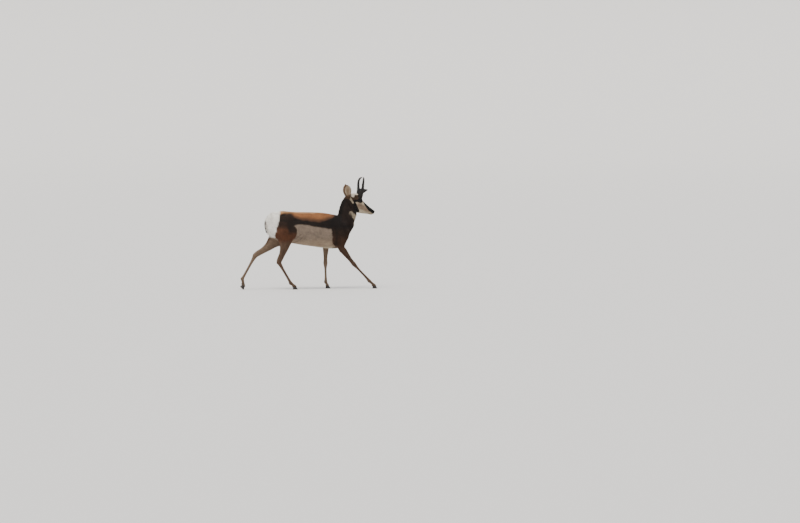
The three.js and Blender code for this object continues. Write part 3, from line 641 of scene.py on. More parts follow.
def body_colours(p):
    """Trunk, neck and upper legs, from where each hair stands in the view from the buck's right."""
    wide = np.abs(p[:, 1])
    x, z = p[:, 0] + SIDE_SHIFT * wide + 7 * wander(p, 1), p[:, 2] + 6 * wander(p, 2)
    fold = near_line(x, z, (-212, 560), (-112, 632))
    stripe_foot, tan_foot = np.interp(x, *STRIPE_FOOT), np.interp(x, *TAN_FOOT)
    thigh_front = np.interp(z, *THIGH_FRONT)
    on_thigh = step(x, thigh_front + 7, thigh_front - 7) * step(z, 800, 780) * step(wide, 26, 60)
    # The tan of the back: painted shade low down, painted light along the top.
    low_back = over(plain(TAN_PAINTED_SHADE, p), (TAN, step(z, tan_foot + 8, tan_foot + 54)),
                    (TAN_PAINTED_LIGHT, 0.7 * step(z, 872, 892) * step(wide, 90, 50)))
    shoulder_back = np.interp(z, *SHOULDER_BACK)
    on_shoulder = step(x, shoulder_back - 8, shoulder_back + 8) * step(z, tan_foot + 2, tan_foot - 14)
    neck = step(x + 0.25 * (z - 800), 272, 296) * step(z, 720, 790)
    nape_edge = np.interp(p[:, 2], *NAPE_EDGE)
    rump_edge = np.interp(z, *RUMP_EDGE)
    # Painted shade for the grooves between the tail and the buttocks.
    tail_groove_shade = step(np.abs(wide - 30), 12, 5) * step(p[:, 0], -500, -525)
    return over(
        plain(SIDE, p),
        (BELLY, step(z, 600, 520)),
        (CREAM, 0.8 * step(z, 505, 482) * step(x, -60, 20)),
        (BELLY_SHADE, 0.5 * step(np.abs(fold - 19), 9, 3) * step(x, -230, -200)),
        # The dark stripe under the tan is partly the coat's own dark brown and partly painted shade, where
        # the back turns down into the side.
        (STRIPE, step(z, stripe_foot - 10, stripe_foot + 10)),
        (thigh_colours(p, x, z), on_thigh),
        (HIP, 0.8 * step(z, 794, 816) * step(x, -200, -222)),
        (STRIPE, step(np.hypot((x + 338) / 30, (z - 868) / 15), 1.2, 0.8)),
        (low_back, step(z, tan_foot - 6, tan_foot + 8)),
        (shoulder_colours(p, x, z), on_shoulder * step(wide + 0.25 * (z - 450), 20, 48)),
        (NECK_BROWN, neck),
        (SHOULDER_LOW, 0.5 * neck * step(z, 790, 730) * step(x, 400, 450)),
        (NAPE, neck * step(x, nape_edge + 60, nape_edge + 26)),
        (CREAM, 0.5 * step(near_line(x, z, (470, 772), (520, 756)), 17, 9) * step(wide, 60, 40)),
        (RUMP, step(x, rump_edge + 6, rump_edge - 6) * step(z, 585, 620)),
        # Painted shade in the grooves beside the tail.
        (TAIL_GREY, 0.55 * tail_groove_shade * step(z, 640, 670) * step(z, 820, 790)))


def leg_colours(p, n, number):
    """Brown outside, pale inside, a painted highlight down the front, painted shade low on the back, and
    dusty feet.
    """
    outward = np.cos(follow(p, *BONES[number])[1]) + 0.18 * wander(p, 3)
    forward, up = n[:, 0] + 0.25 * n[:, 2], p[:, 2]
    return over(
        plain(INSIDE_LEG, p),
        (SHANK, step(outward, -0.35, 0.25)),
        (SHOULDER_LOW, 0.8 * (number in FORE_LEGS) * step(outward, 0.0, 0.5) * step(up, 210, 400)),
        # A painted highlight down the front of the lower leg.
        (CREAM, 0.55 * step(forward, 0.55, 0.9) * step(up, 480, 400)),
        # Painted shade on the back of the lower leg.
        (BELLY_SHADE, 0.4 * step(forward, 0.1, -0.7) * step(up, 330, 200)),
        (DUST, 0.6 * step(up, 110, 60)))


def side_view(p):
    """Where a hair of the head stands in the view from the right; both cheeks are marked alike."""
    near = in_space(mirrored(in_space(p, to_head)) * (1, -1, 1), HEAD_PLACE)
    return near[:, 0] - SIDE_SHIFT * near[:, 1], near[:, 2]


def cheek_places(x, z):
    """Along and across the round patch behind the cheek, and the distance from it in half sizes."""
    off_x, off_z = x - CHEEK_PATCH["middle"][0], z - CHEEK_PATCH["middle"][1]
    c, s = CHEEK_PATCH["across"]
    along, across = off_z * c - off_x * s, off_x * c + off_z * s
    return across, np.hypot(along / CHEEK_PATCH["half_long"], across / CHEEK_PATCH["half_wide"])


def face_colours(p):
    """The head: side marks from the view from the right, the muzzle and nose from head space."""
    place = in_space(p, to_head)
    wide = np.abs(place[:, 1])
    back, up = -place[:, 0] + 5 * wander(p, 4), place[:, 2] + 4 * wander(p, 5)
    x, z = side_view(p)
    x, z = x + 4 * wander(p, 4), z + 4 * wander(p, 5)
    top = np.interp(back, *FACE_TOP)
    band = top - np.interp(back, *NOSE_BAND)
    mask = np.maximum(step(up, band - 4, band + 4), step(wide, 27, 21) * step(up, top - 32, top - 22))
    across, cheek = cheek_places(x, z)
    behind = np.maximum(step(x + 0.12 * (z - 930), 506, 488), step(across, -10, -20) * step(z, 858, 872))
    crown = np.minimum(near_line(x, z, (497, 1072), (500, 1112)), near_line(x, z, (500, 1106), (548, 1104)))
    return over(
        plain(CREAM, p),
        # Painted shade over the upper cheek, below the black band.
        (CHEEK_PAINTED_SHADE, 0.9 * step(near_line(x, z, (568, 968), (684, 914)), 46, 12)),
        (FACE_TAN, step(z, 1000, 1030) * step(back, 205, 240)),
        # Painted shade under the lower lip and chin.
        (FACE_TAN, 0.4 * step(near_line(x, z, (676, 866), (722, 858)), 14, 3)),
        (NECK_BROWN, behind * step(z, 1060, 1036)),
        (EAR_FOOT, step(x, 490, 470) * step(z, 1036, 1060)),
        (MASK, mask * step(back, 250, 215) * step(back, -2, 20)),
        (MASK, step(back, 32, 18) * step(up, -21, -11)),
        (MASK, step(np.hypot((x - 580) / 30, (z - 1022) / 26), 1.15, 0.9) * step(wide, 20, 36)),
        (MASK, step(near_line(x, z, (500, 1012), (580, 1022)), 17, 10) * step(wide, 16, 34)),
        (MASK, step(np.hypot((back - 250) / 33, (up - 74) / 32), 1.2, 0.85) * step(wide, 8, 20)),
        (CROWN, step(crown, 22, 14) * step(z, 1052, 1066)),
        (MASK, step(cheek, 1.14, 0.9) * step(wide, 8, 22)),
        (CREAM, 0.75 * step(near_line(x, z, (458, 1056), (495, 996)), 13, 7) * step(wide, 18, 32)))


def tail_colours(p):
    stripe = step(np.abs(p[:, 1]) + 3 * wander(p, 7), 20, 13) * step(p[:, 2], 826, 796)
    return over(plain(RUMP, p), (TAIL_GREY, 0.5 * step(p[:, 2], 820, 780)), (HIP, 0.93 * stripe),
                (STRIPE, 0.85 * step(p[:, 2], 716, 668)))


def coat_colours(p, n, labels):
    colour = body_colours(p)
    for number in JOINTS:
        mine = labels == number
        q = p[mine]
        lowered = step(q[:, 2], 520, 455) if number in FORE_LEGS else step(q[:, 2], 560, 440)
        inner = step(np.abs(q[:, 1]), 62, 44) * step(q[:, 2], 640, 560)
        colour[mine] = over(colour[mine], (leg_colours(q, n[mine], number), np.maximum(lowered, inner)))
    front = (labels == HEAD) | (labels == NECK)
    heads = step((p[:, 0] - 372) * 0.837 + (p[:, 2] - 1072) * 0.547 + 5 * wander(p, 6), -6, 8)
    x, z = side_view(p)
    bar_x, bar_z = x + 4 * wander(p, 6), z + 4 * wander(p, 2)
    throat = step(near_line(bar_x, bar_z, *THROAT_BAR), 30, 20) * step(bar_z, 778, 800)
    throat = throat * step(np.abs(p[:, 1] - 0.11 * (p[:, 0] - 450)), 74, 60)
    throat = throat * step(cheek_places(x, z)[1], 1.0, 1.2)
    colour = over(colour, (face_colours(p), heads * front), (CREAM, 0.75 * throat * front))
    colour[labels == TAIL] = tail_colours(p[labels == TAIL])
    patches = 1 + 0.10 * wander(p * 1.7, 8) + 0.05 * wander(p * 4, 9)
    return np.clip(colour * patches[:, None], 0.002, 0.95)


def bare_places(p, lids):
    """Where skin shows with no hair: round the eyes, in the nostrils, on the lips and the nose."""
    both = mirrored(in_space(p, to_head))
    back, up = -both[:, 0], both[:, 2]
    nostrils = step(nostril_gap(both, (1, 1, 1)), 7, 4.5)
    lips = step(np.abs(up - mouth_height(np.clip(back, 2, 80))), 2.6, 0.9) * step(back, MOUTH_CORNER, 40)
    pad = step(back, 7, 3) * step(up, -19, -16)
    eyes = step(lids, 1.3, 1.12) * (np.linalg.norm(both - EYE_MIDDLE, axis=1) < 34)
    return np.max([nostrils, lips, pad, eyes], axis=0) * (back < 300) * (back > -30)


bare = bare_places(points, lid_line)
colours = over(coat_colours(points, normals, part), (NOSE_SKIN, bare))


# The lie of the coat: hair lies from the nose to the back of the head, down the neck and the legs,
# and along the trunk towards the tail, sinking a little down the sides. Where the surface faces
# along the lie it has no direction of its own, and takes its neighbours'.
def across_surface(flow, normal):
    return flow - normal * np.sum(flow * normal, axis=1)[:, None]


def unit(vectors):
    return vectors / np.maximum(np.linalg.norm(vectors, axis=-1, keepdims=True), 1e-9)


def lie_of(p, n, labels):
    flow = np.zeros_like(p)
    for number, (chain, outward) in BONES.items():
        mine = labels == number
        direction = follow(p[mine], chain, outward)[3]
        flow[mine] = direction if number >= TAIL else -direction
    trunk = labels == TORSO
    flow[:, 2] -= 0.45 * np.abs(n[:, 1]) * trunk
    flow[:, 2] -= 0.9 * step(p[:, 0], -420, -520) * trunk
    flow[:, 0] -= 0.45 * (labels == NECK) * step(p[:, 2], 1000, 760)
    return flow


lie = lie_of(points, normals, part)
for turn in range(5):
    lie = eased(across_surface(lie, normals), skin_edges, 12)
lie = across_surface(lie, normals)
lie_strength = np.clip(np.linalg.norm(lie, axis=1), 0, 1)
lie = unit(lie)

# The skin's layout for finishes has one chart a part in the unit square: its left and lower edge,
# its width and height there, and the length of the part that fills the width. The part's girth
# fills the height but for a small gap.
CHARTS = np.array([
    (0.01, 0.01, 0.56, 0.52, 1120), (0.59, 0.01, 0.18, 0.40, 400), (0.79, 0.01, 0.19, 0.40, 400),
    (0.59, 0.43, 0.18, 0.09, 220), (0.01, 0.55, 0.48, 0.2, 1100), (0.51, 0.55, 0.48, 0.2, 1100),
    (0.01, 0.77, 0.48, 0.2, 1100), (0.51, 0.77, 0.48, 0.2, 1100)])
GIRTH_FILL = 0.96


def layout(p, labels):
    """Place in the unit square, and place along and round the part in metres."""
    square = np.zeros((len(p), 2))
    along, turn, girth = np.zeros((3, len(p)))
    for number, (chain, outward) in BONES.items():
        mine = labels == number
        length, angle, radius, _ = follow(p[mine], chain, outward)
        left, low, wide, high, full = CHARTS[number]
        square[mine, 0] = left + wide * np.clip(length / full, 0, 1)
        square[mine, 1] = low + high * (0.5 + angle / (2 * math.pi) * GIRTH_FILL)
        along[mine], turn[mine], girth[mine] = length / 1000, angle, radius / 1000
    return square, along, turn, girth


def corners_of(mesh):
    return numbers_of(mesh.loops, "vertex_index", 1, np.int32)[:, 0]


def add_map(mesh, name, places):
    mesh.uv_layers.new(name=name).data.foreach_set("uv", places.astype(np.float32).ravel())


def add_layout(mesh, p, labels):
    """Charts by face, so that no face spans the seam along the far side of a part."""
    square, along, turn, girth = layout(p, labels)
    corner = corners_of(mesh)
    first = numbers_of(mesh.polygons, "loop_start", 1, np.int32)[:, 0]
    lead = np.repeat(corner[first], np.diff(np.append(first, len(corner))))
    other = labels[corner] != labels[lead]
    placed = np.where(other[:, None], square[lead], square[corner])
    wrap = np.round((turn[corner] - turn[lead]) / (2 * math.pi))
    placed[:, 1] -= np.where(other, 0, wrap * CHARTS[labels[lead], 3] * GIRTH_FILL)
    add_map(mesh, "OFBake", placed)
    angle = turn[corner] - wrap * 2 * math.pi
    add_map(mesh, "Lie", np.stack([along[corner], angle * 0.6 * np.maximum(girth[corner], 0.012)], axis=1))


def paint(mesh, colours, bare=None):
    tint = mesh.attributes.new("coat", "FLOAT_COLOR", "POINT")
    full = np.ones((len(colours), 4), np.float32)
    full[:, :3] = colours
    tint.data.foreach_set("color", full.ravel())
    if bare is not None:
        naked = mesh.attributes.new("bare", "FLOAT", "POINT")
        naked.data.foreach_set("value", bare.astype(np.float32))


def add(tree, kind, sockets, **settings):
    """A shader node with its settings made, and its sockets set or joined."""
    made = tree.nodes.new("ShaderNode" + kind)
    for setting, value in settings.items():
        setattr(made, setting, value)
    join(tree, made, sockets)
    return made


def painted(tree, name, output):
    return add(tree, "Attribute", {}, attribute_name=name).outputs[output]


def add_shade(tree, surface, base, tone, blend, share):
    shade = add(tree, "Mix", {"Factor": share, "A": base, "B": tone}, data_type="RGBA", blend_type=blend)
    join(tree, surface, {"Base Color": shade.outputs["Result"]})


def add_relief(tree, surface, height, strength, distance):
    relief = add(tree, "Bump", {"Height": height, "Strength": strength, "Distance": distance})
    join(tree, surface, {"Normal": relief.outputs["Normal"]})


def add_roughness(tree, surface, mask, low, high):
    spread = add(tree, "MapRange", {"Value": mask, "To Min": low, "To Max": high})
    join(tree, surface, {"Roughness": spread.outputs["Result"]})


# The hair finish: streaks along the lie, clumps, and fine relief.
HAIR_SOCKETS = (("Lie", "INPUT", "Vector"), ("Fineness", "INPUT", "Float"), ("Contrast", "INPUT", "Float"),
                ("Tint", "OUTPUT", "Float"), ("Height", "OUTPUT", "Float"))
hair = bpy.data.node_groups.new("hair_streaks", "ShaderNodeTree")
for socket, way, kind in HAIR_SOCKETS:
    hair.interface.new_socket(name=socket, in_out=way, socket_type="NodeSocket" + kind)
given, result = hair.nodes.new("NodeGroupInput"), hair.nodes.new("NodeGroupOutput")
stretched = add(hair, "VectorMath", {0: given.outputs["Lie"], 1: (70, 620, 1)}, operation="MULTIPLY")
sized = add(hair, "VectorMath", {0: stretched.outputs[0], "Scale": given.outputs["Fineness"]},
            operation="SCALE")
strands = add(hair, "TexNoise", {"Vector": sized.outputs[0], "Scale": 1.0, "Detail": 4.0})
clumps = add(hair, "TexNoise", {"Vector": sized.outputs[0], "Scale": 0.22, "Detail": 3.0})
mixed = add(hair, "Math", {0: strands.outputs["Fac"], 1: clumps.outputs["Fac"]}, operation="ADD")
centred = add(hair, "Math", {0: mixed.outputs[0], 1: 1.0}, operation="SUBTRACT")
tinted = add(hair, "Math", {0: centred.outputs[0], 1: given.outputs["Contrast"], 2: 1.0},
             operation="MULTIPLY_ADD")
join(hair, result, {"Tint": tinted.outputs[0], "Height": mixed.outputs[0]})


def hair_finish(name, map_name, fineness, contrast, bump, roughness, naked=False):
    finish, tree, surface = new_finish(name, {
        "Roughness": roughness, "Specular IOR Level": 0.28, "Sheen Weight": 0.07,
        "Sheen Tint": (0.9, 0.76, 0.62, 1.0), "Sheen Roughness": 0.45})
    comb = add(tree, "UVMap", {}, uv_map=map_name)
    sockets = {"Lie": comb.outputs["UV"], "Fineness": fineness, "Contrast": contrast}
    streaks = add(tree, "Group", sockets, node_tree=hair)
    add_shade(tree, surface, painted(tree, "coat", "Color"), streaks.outputs["Tint"], "MULTIPLY", 1.0)
    add_relief(tree, surface, streaks.outputs["Height"], bump, 0.0012)
    if naked:
        add_roughness(tree, surface, painted(tree, "bare", "Fac"), roughness, 0.44)
    return finish


add_layout(skin_mesh, points, part)
paint(skin_mesh, colours, bare)
skin_mesh.materials.append(hair_finish("short_coat", "Lie", 1.0, 0.55, 0.7, 0.82, naked=True))
put("skin", skin_mesh, "coat", *FLESH)


# The ears: two long cupped ears, thin leather with fur on the back and pale hair inside, rolled
# into a stalk at the foot. The right one listens back and out, the left one forward.
EAR_LENGTH, EAR_THICK, EAR_ARC, EAR_STATIONS = 199.0, 2.6, 25, 64
# For each ear: the middle of its foot, the way it points and the way its hollow faces.
EARS = {
    "ear_right": ((428, -27, 1024), (-0.197, -0.304, 0.932), (-0.18, -0.93, 0.1)),
    "ear_left": ((430, 27, 1024), (-0.012, 0.313, 0.95), (0.72, 0.62, 0.1)),
}
# Up the ear: share of the length, half width, depth of the cup, how far the rims curl forward.
EAR_ROWS = [(-0.04, 12, 12, 11), (0.06, 15, 15, 13), (0.14, 18, 17, 14), (0.25, 20, 18, 13),
            (0.345, 27, 21, 9), (0.46, 35, 24, 4), (0.58, 40, 25, 0), (0.71, 38.5, 21, -2),
            (0.825, 31, 15, -3), (0.92, 18, 8.5, -2), (1.0, 3.0, 2.5, 0)]
EAR_BACK, EAR_RIM = linear(98, 72, 52), linear(70, 47, 31)
EAR_INSIDE, EAR_DEEP = linear(192, 173, 148), linear(150, 124, 100)


def along_rows(rows, count):
    """A smooth run through rows of numbers, at evenly spread stations."""
    rows = np.array(rows, float)
    stations = np.linspace(0, len(rows) - 1, count)
    start = np.minimum(np.floor(stations).astype(int), len(rows) - 2)
    t = (stations - start)[:, None]
    p, q, r, s = (rows[np.clip(start + i, 0, len(rows) - 1)] for i in (-1, 0, 1, 2))
    bend, twist = 2 * p - 5 * q + 4 * r - s, 3 * q - p - 3 * r + s
    return 0.5 * (2 * q + (r - p) * t + bend * t ** 2 + twist * t ** 3)


def grid_faces(count, sides, closed=False):
    """The squares between rings of points, and between the last ring and the first if closed."""
    i, j = np.meshgrid(np.arange(count if closed else count - 1), np.arange(sides), indexing="ij")
    k, after = (j + 1) % sides, (i + 1) % count
    squares = np.stack([i * sides + j, i * sides + k, after * sides + k, after * sides + j], -1)
    return squares.reshape(-1, 4).tolist()


def new_form(points, faces):
    """A bmesh of points in millimetres, with its faces turned outward."""
    rough = bpy.data.meshes.new("rough")
    rough.from_pydata(to_metres(points).tolist(), [], faces)
    form = bmesh.new()
    form.from_mesh(rough)
    bpy.data.meshes.remove(rough)
    bmesh.ops.recalc_face_normals(form, faces=form.faces)
    return form


def new_mesh(name, form):
    mesh = bpy.data.meshes.new(name)
    form.to_mesh(mesh)
    form.free()
    mesh.shade_smooth()
    return mesh


def tube_mesh(name, rings, matrix):
    """A closed skin through rings of the same number of points, in the space of a matrix."""
    rings = in_space(rings.reshape(-1, 3), matrix).reshape(rings.shape)
    count, sides = rings.shape[:2]
    foot, last = count * sides, (count - 1) * sides
    pairs = [(a, (a + 1) % sides) for a in range(sides)]
    ends = [(foot, b, a) for a, b in pairs] + [(foot + 1, last + a, last + b) for a, b in pairs]
    points = np.concatenate([rings.reshape(-1, 3), rings[:1].mean(1), rings[-1:].mean(1)])
    return new_mesh(name, new_form(points, grid_faces(count, sides) + ends))


def ear_rings(root, axis, towards, stations):
    """Rings round the leather: over the back of the cup, then over its hollow."""
    broad = np.cross(axis, towards)
    arc = np.linspace(0, math.pi, EAR_ARC)

    def bow(half, deep, curl):
        return np.outer(np.cos(arc) * half, broad) - np.outer(np.sin(arc) * deep - curl * 0.4, towards)

    rings = []
    for share, half, cup, curl in stations:
        centre = root + axis * share * EAR_LENGTH + towards * 10 * share
        opened = step(share, 0.22, 0.5)
        hollow = (cup - EAR_THICK) * opened - (1 - opened) * curl
        slim = half - 0.7 * EAR_THICK * np.clip((share - 0.12) * 5, 0, 1)
        back = bow(half, cup + 0.8 * math.sin(share * 40) * opened, curl)
        rings.append(centre + np.concatenate([back, bow(slim, hollow, curl)[::-1]]))
    return np.array(rings)


ear_finish = hair_finish("ear_leather", "Lie", 1.3, 0.5, 0.6, 0.8)
ear_stations = along_rows(EAR_ROWS, EAR_STATIONS)
# Where each point of an ear is: up it, from rim to rim, and on its back or its front. The last two
# points close the ends.
up_ear = np.append(np.repeat(ear_stations[:, 0], 2 * EAR_ARC), (0, 1))
run = np.linspace(0, 1, EAR_ARC)
from_rim = np.append(np.tile(np.append(run, run[::-1]), EAR_STATIONS), (0.5, 0.5))
ear_front = np.append(np.tile(np.repeat([0.0, 1.0], EAR_ARC), EAR_STATIONS), (0, 0))
off_middle = np.abs(from_rim - 0.5)
rim = np.maximum(step(off_middle, 0.35, 0.46), step(up_ear, 0.86, 0.97))
ear_spots = np.stack([np.clip(up_ear, 0.02, 0.98), 0.25 + 0.46 * (from_rim - 0.5) + 0.5 * ear_front], axis=1)
ear_comb = np.stack([up_ear * EAR_LENGTH / 1000, from_rim * 0.08], axis=1)
ear_coats = []
for name, (root, lean, faces) in EARS.items():
    axis = unit(np.array(lean, float))
    towards = unit(np.array(faces, float) - np.dot(faces, axis) * axis)
    ear_mesh = tube_mesh(name + "_leather", ear_rings(root, axis, towards, ear_stations), HEAD_TURN)
    p = in_millimetres(ear_mesh)
    inside = over(plain(EAR_INSIDE, p), (EAR_DEEP, 0.7 * step(off_middle, 0.3, 0.05)))
    colour = over(plain(EAR_BACK, p), (EAR_RIM, 0.9 * rim),
                  (EAR_RIM, 0.5 * step(up_ear, 0.7, 0.98) * (1 - ear_front)),
                  (inside, ear_front * step(up_ear, 0.25, 0.4) * (1 - 0.85 * rim)),
                  (EAR_FOOT, step(up_ear, 0.4, 0.2)))
    colour = colour * (1 + 0.08 * wander(p * 2, 3))[:, None]
    paint(ear_mesh, colour)
    add_map(ear_mesh, "OFBake", ear_spots[corners_of(ear_mesh)])
    add_map(ear_mesh, "Lie", ear_comb[corners_of(ear_mesh)])
    ear_mesh.materials.append(ear_finish)
    put(name + "_leather", ear_mesh, "coat", name)
    ear_coats.append((name, ear_mesh, p, colour, np.array(HEAD_TURN)[:3, :3] @ axis))


# The eyes: large dark eyeballs under a wet cornea, with a nearly black iris and a long level pupil,
# in a rim of bare black lid with stiff upper lashes.
IRIS, IRIS_EDGE, PUPIL = linear(20, 12, 8), linear(16, 12, 10), linear(5, 5, 7)
BALL_ROWS, BALL_SIDES = 48, 64
LOOK = (0.28, 0.95, -0.02)
# The rim of the lids: how wide each loop round the opening is, how high it is over the middle of
# the ball or None for just at the skin, and how much it is lifted from there.
LID_LOOPS = [(0.86, 18.6, 0), (0.90, 19.9, 0), (0.94, 20.6, 0), (1.0, 21.4, 0), (1.14, None, 0.1),
             (1.3, None, 0.3), (1.52, None, -1.2), (1.3, None, -4.0), (1.0, 18.2, 0)]
LID_POINTS, LASHES, LASH_LOOP, LASH_HALF_WIDTH = 72, 72, 3, 0.34
INSIDE_SKIN = 17  # a height over the middle of the ball that is surely under the skin
form = bmesh.new()
form.from_mesh(skin_mesh)
skin_tree = BVHTree.FromBMesh(form)
form.free()


def eye_ball(name, side):
    """A ball whose pole looks out and a little forward, where the cornea bulges."""
    look = unit(np.array(LOOK) * (1, side, 1))
    level = unit(np.cross((0, 0, 1), look))
    angle, turn = np.meshgrid(np.linspace(0, math.pi, BALL_ROWS + 1)[1:-1],
                              np.linspace(0, 2 * math.pi, BALL_SIDES, endpoint=False), indexing="ij")
    away = (np.multiply.outer(np.cos(angle), look) + np.multiply.outer(np.cos(turn) * np.sin(angle), level)
            + np.multiply.outer(np.sin(turn) * np.sin(angle), np.cross(look, level)))
    reach = (EYE["radius"] - 0.4) * (1 + 0.035 * bell(angle, 0.5))
    ball = tube_mesh(name, away * reach[:, :, None] + EYE_MIDDLE * (1, side, 1), HEAD_PLACE)
    angle, turn = np.append(angle, (0, math.pi)), np.append(turn, (0, 0))
    pupil = np.hypot(angle * np.cos(turn) / 0.52, angle * np.sin(turn) / 0.24)
    fibres = 0.85 + 0.2 * np.sin(turn * 37) * np.sin(turn * 11 + 1)
    colour = over(plain(IRIS_EDGE, angle), (IRIS, step(angle, 0.95, 0.7))) * fibres[:, None]
    paint(ball, over(colour, (PUPIL, step(pupil, 1.3, 0.7))))
    return ball


def skin_height(rays, middle):
    """How high the skin stands over the middle of the ball along each ray, evened out a little."""
    starts = to_metres(middle + rays * INSIDE_SKIN)
    met = [skin_tree.ray_cast(Vector(start), Vector(ray))[3] for start, ray in zip(starts, rays)]
    height = INSIDE_SKIN + 1000 * np.array([0.005 if far is None else min(far, 0.012) for far in met])
    return sum(np.roll(height, k) for k in range(-3, 4)) / 7


def lid_loop(share, height, side):
    """Directions from the middle of the ball to a loop round the opening, and its height."""
    t = np.linspace(0, 2 * math.pi, LID_POINTS, endpoint=False)
    u = OPENING["half_length"] * math.sqrt(share) * np.cos(t)
    half_height = np.where(np.sin(t) > 0, OPENING["upper"], OPENING["lower"])
    v = share * half_height * np.sin(t) * np.abs(np.sin(t))
    x, z = u * slope_c - v * slope_s, u * slope_s + v * slope_c
    away = np.stack([x, side * np.sqrt(EYE["radius"] ** 2 - x ** 2 - z ** 2), z], axis=1) / EYE["radius"]
    if height is None:
        middle = in_space((EYE_MIDDLE * (1, side, 1))[None], HEAD_PLACE)[0]
        height = skin_height(away @ np.array(HEAD_PLACE)[:3, :3].T, middle)[:, None]
    return away, height


def add_lashes(form, line, normal, side):
    """Stiff lashes along the upper lid, each a slim three-sided spike."""
    ahead = unit(np.roll(line, -1, 0) - np.roll(line, 1, 0))
    across = np.cross(ahead, normal)
    for k in range(LASHES):
        t = math.pi * (0.1 + 0.8 * (k + chance.uniform(-0.5, 0.5)) / (LASHES - 1))
        i = int(t / (2 * math.pi) * LID_POINTS)
        base = line[i] + normal[i] * 0.2 + ahead[i] * chance.uniform(-0.8, 0.8)
        sweep = unit(normal[i] + np.array((-0.3, 0, 0.3)) + 0.14 * chance.normal(size=3))
        tip = base + sweep * (5.0 + 4.5 * math.sin(t)) * chance.uniform(0.8, 1.15)
        foot = [base + (ahead[i] * math.cos(a) + across[i] * math.sin(a)) * LASH_HALF_WIDTH
                for a in (0, 2.1, 4.2)]
        spots = to_metres(in_space(np.array(foot + [tip]) + EYE_MIDDLE * (1, side, 1), HEAD_PLACE))
        made = [form.verts.new(spot) for spot in spots.tolist()]
        for a, b, c in ((2, 1, 0), (0, 1, 3), (1, 2, 3), (2, 0, 3)):
            form.faces.new((made[a], made[b], made[c]))
    bmesh.ops.recalc_face_normals(form, faces=form.faces)


wet_finish, wet_tree, wet_surface = new_finish("wet_eye", {
    "Roughness": 0.25, "Specular IOR Level": 0.08, "Coat Weight": 0.35, "Coat IOR": 1.34,
    "Coat Roughness": 0.04})
join(wet_tree, wet_surface, {"Base Color": painted(wet_tree, "coat", "Color")})

lid_finish, lid_tree, lid_surface = new_finish("bare_lid", {"Roughness": 0.55, "Specular IOR Level": 0.3})
lid_place = add(lid_tree, "TexCoord", {}).outputs["Object"]
pores = add(lid_tree, "TexNoise", {"Vector": lid_place, "Scale": 900}).outputs["Fac"]
LID_DARK, LID_PALE = (*linear(14, 11, 10), 1), (*linear(26, 21, 18), 1)
add_shade(lid_tree, lid_surface, LID_DARK, LID_PALE, "MIX", pores)
add_relief(lid_tree, lid_surface, pores, 0.4, 0.0004)

for name, side in (("eye_right", -1), ("eye_left", 1)):
    ball = eye_ball(name + "_ball", side)
    ball.materials.append(wet_finish)
    put(name + "_ball", ball, "eye", name)
    loops = []
    for share, height, lift in LID_LOOPS:
        away, height = lid_loop(share, height, side)
        loops.append(away * (height + lift))
    rim_points = np.stack(loops, axis=1).reshape(-1, 3) + EYE_MIDDLE * (1, side, 1)
    form = new_form(in_space(rim_points, HEAD_PLACE), grid_faces(LID_POINTS, len(LID_LOOPS), closed=True))
    for face in form.faces:
        face.smooth = True
    lash_line = loops[LASH_LOOP]
    add_lashes(form, lash_line, unit(lash_line), side)
    rim_mesh = bpy.data.meshes.new(name + "_lid_rim")
    form.to_mesh(rim_mesh)
    form.free()
    rim_mesh.materials.append(lid_finish)
    put(name + "_lid_rim", rim_mesh, "coat")


# The horns: black keratin sheaths, flat from side to side, rough and hairy low down and polished
# towards the tips. Each rises over the eye, throws a short prong forward and hooks in at the top.
HORN_ROOT = (573.0, 42.0, 1036.0)
HORN_TOP, HORN_SPREAD, PRONG_HEIGHT, PRONG_TIP = 1288.0, 79.0, 1143.0, 655.0
HORN_GRAIN = 0.0015
HORN_LOW, HORN_HIGH, HORN_TIP = linear(33, 27, 23), linear(17, 14, 12), linear(84, 70, 58)
# Up the beam: share of the height, place forward and out, reach to the front and back, half width.
# Up to the prong the places out are from the root, above it from the greatest spread.
BEAM_FOOT = [(-0.04, -12, -6, 17, 16, 12), (0, -9, -4, 20, 18, 14), (0.13, -2, 0, 25, 24, 16.5),
             (0.26, 5, 7, 24, 23, 14.5), (0.4, 10, 18, 22, 19, 12.5), (0.54, 14, 29, 17, 15.5, 11)]
BEAM_HEAD = [(0.67, 16, -3, 15, 15, 11), (0.8, 19, 0, 13.5, 13, 10.4), (0.905, 25, -9, 12, 12, 9.4),
             (0.97, 32, -26, 10, 10, 8.2), (1, 38, -45, 7, 7, 6.4), (0.995, 42, -60, 2.2, 2.2, 2.2)]
# Along the prong: place forward of the root and over its height, reach up and down, half width.
PRONG_OUT = 18
PRONG_ROWS = [(4, -11, 26, 29, 9.6), (28, -6, 22.5, 26.5, 8.8), (48, -2, 16.5, 19.5, 7.4),
              (64, 1, 10.5, 12.5, 5.5), (75, 3, 6, 7, 3.8),
              (PRONG_TIP - 0.6 - HORN_ROOT[0], 4, 1.8, 1.8, 1.5)]


def horn_rings(rows, count, sides, rough):
    """Rings through rows of x, y, z, back, front, half width, with fluting that fades up the horn."""
    stations = along_rows(rows, count)
    path = stations[:, :3]
    ahead = unit(np.gradient(path, axis=0))
    out = unit(np.array((0, 1.0, 0)) - ahead[:, 1:2] * ahead)
    fore = np.cross(out, ahead)
    angle = np.linspace(0, 2 * math.pi, sides, endpoint=False)
    c, s = np.cos(angle), np.sin(angle)
    rings = []
    for k, (back, front, half) in enumerate(stations[:, 3:6]):
        share = k / (count - 1)
        flute = rough * (1 - step(share, 0.35, 0.85))
        wave = 0.55 * np.sin(angle * 9 + 3 * share + np.sin(share * 23))
        wave += 0.45 * np.sin(angle * 17 + 5 + share * 31)
        wave += 0.7 * np.sin(share * 62 + 1.3 * np.sin(angle * 2 + share * 9))
        wave += 0.4 * np.sin(share * 131 + angle * 3)
        deep = c * (np.where(c > 0, front, back) + flute * wave)
        wide = np.sign(s) * np.abs(s) ** 0.92 * (half + 0.7 * flute * wave)
        rings.append(path[k] + np.outer(deep, fore[k]) + np.outer(wide, out[k]))
    return np.array(rings)


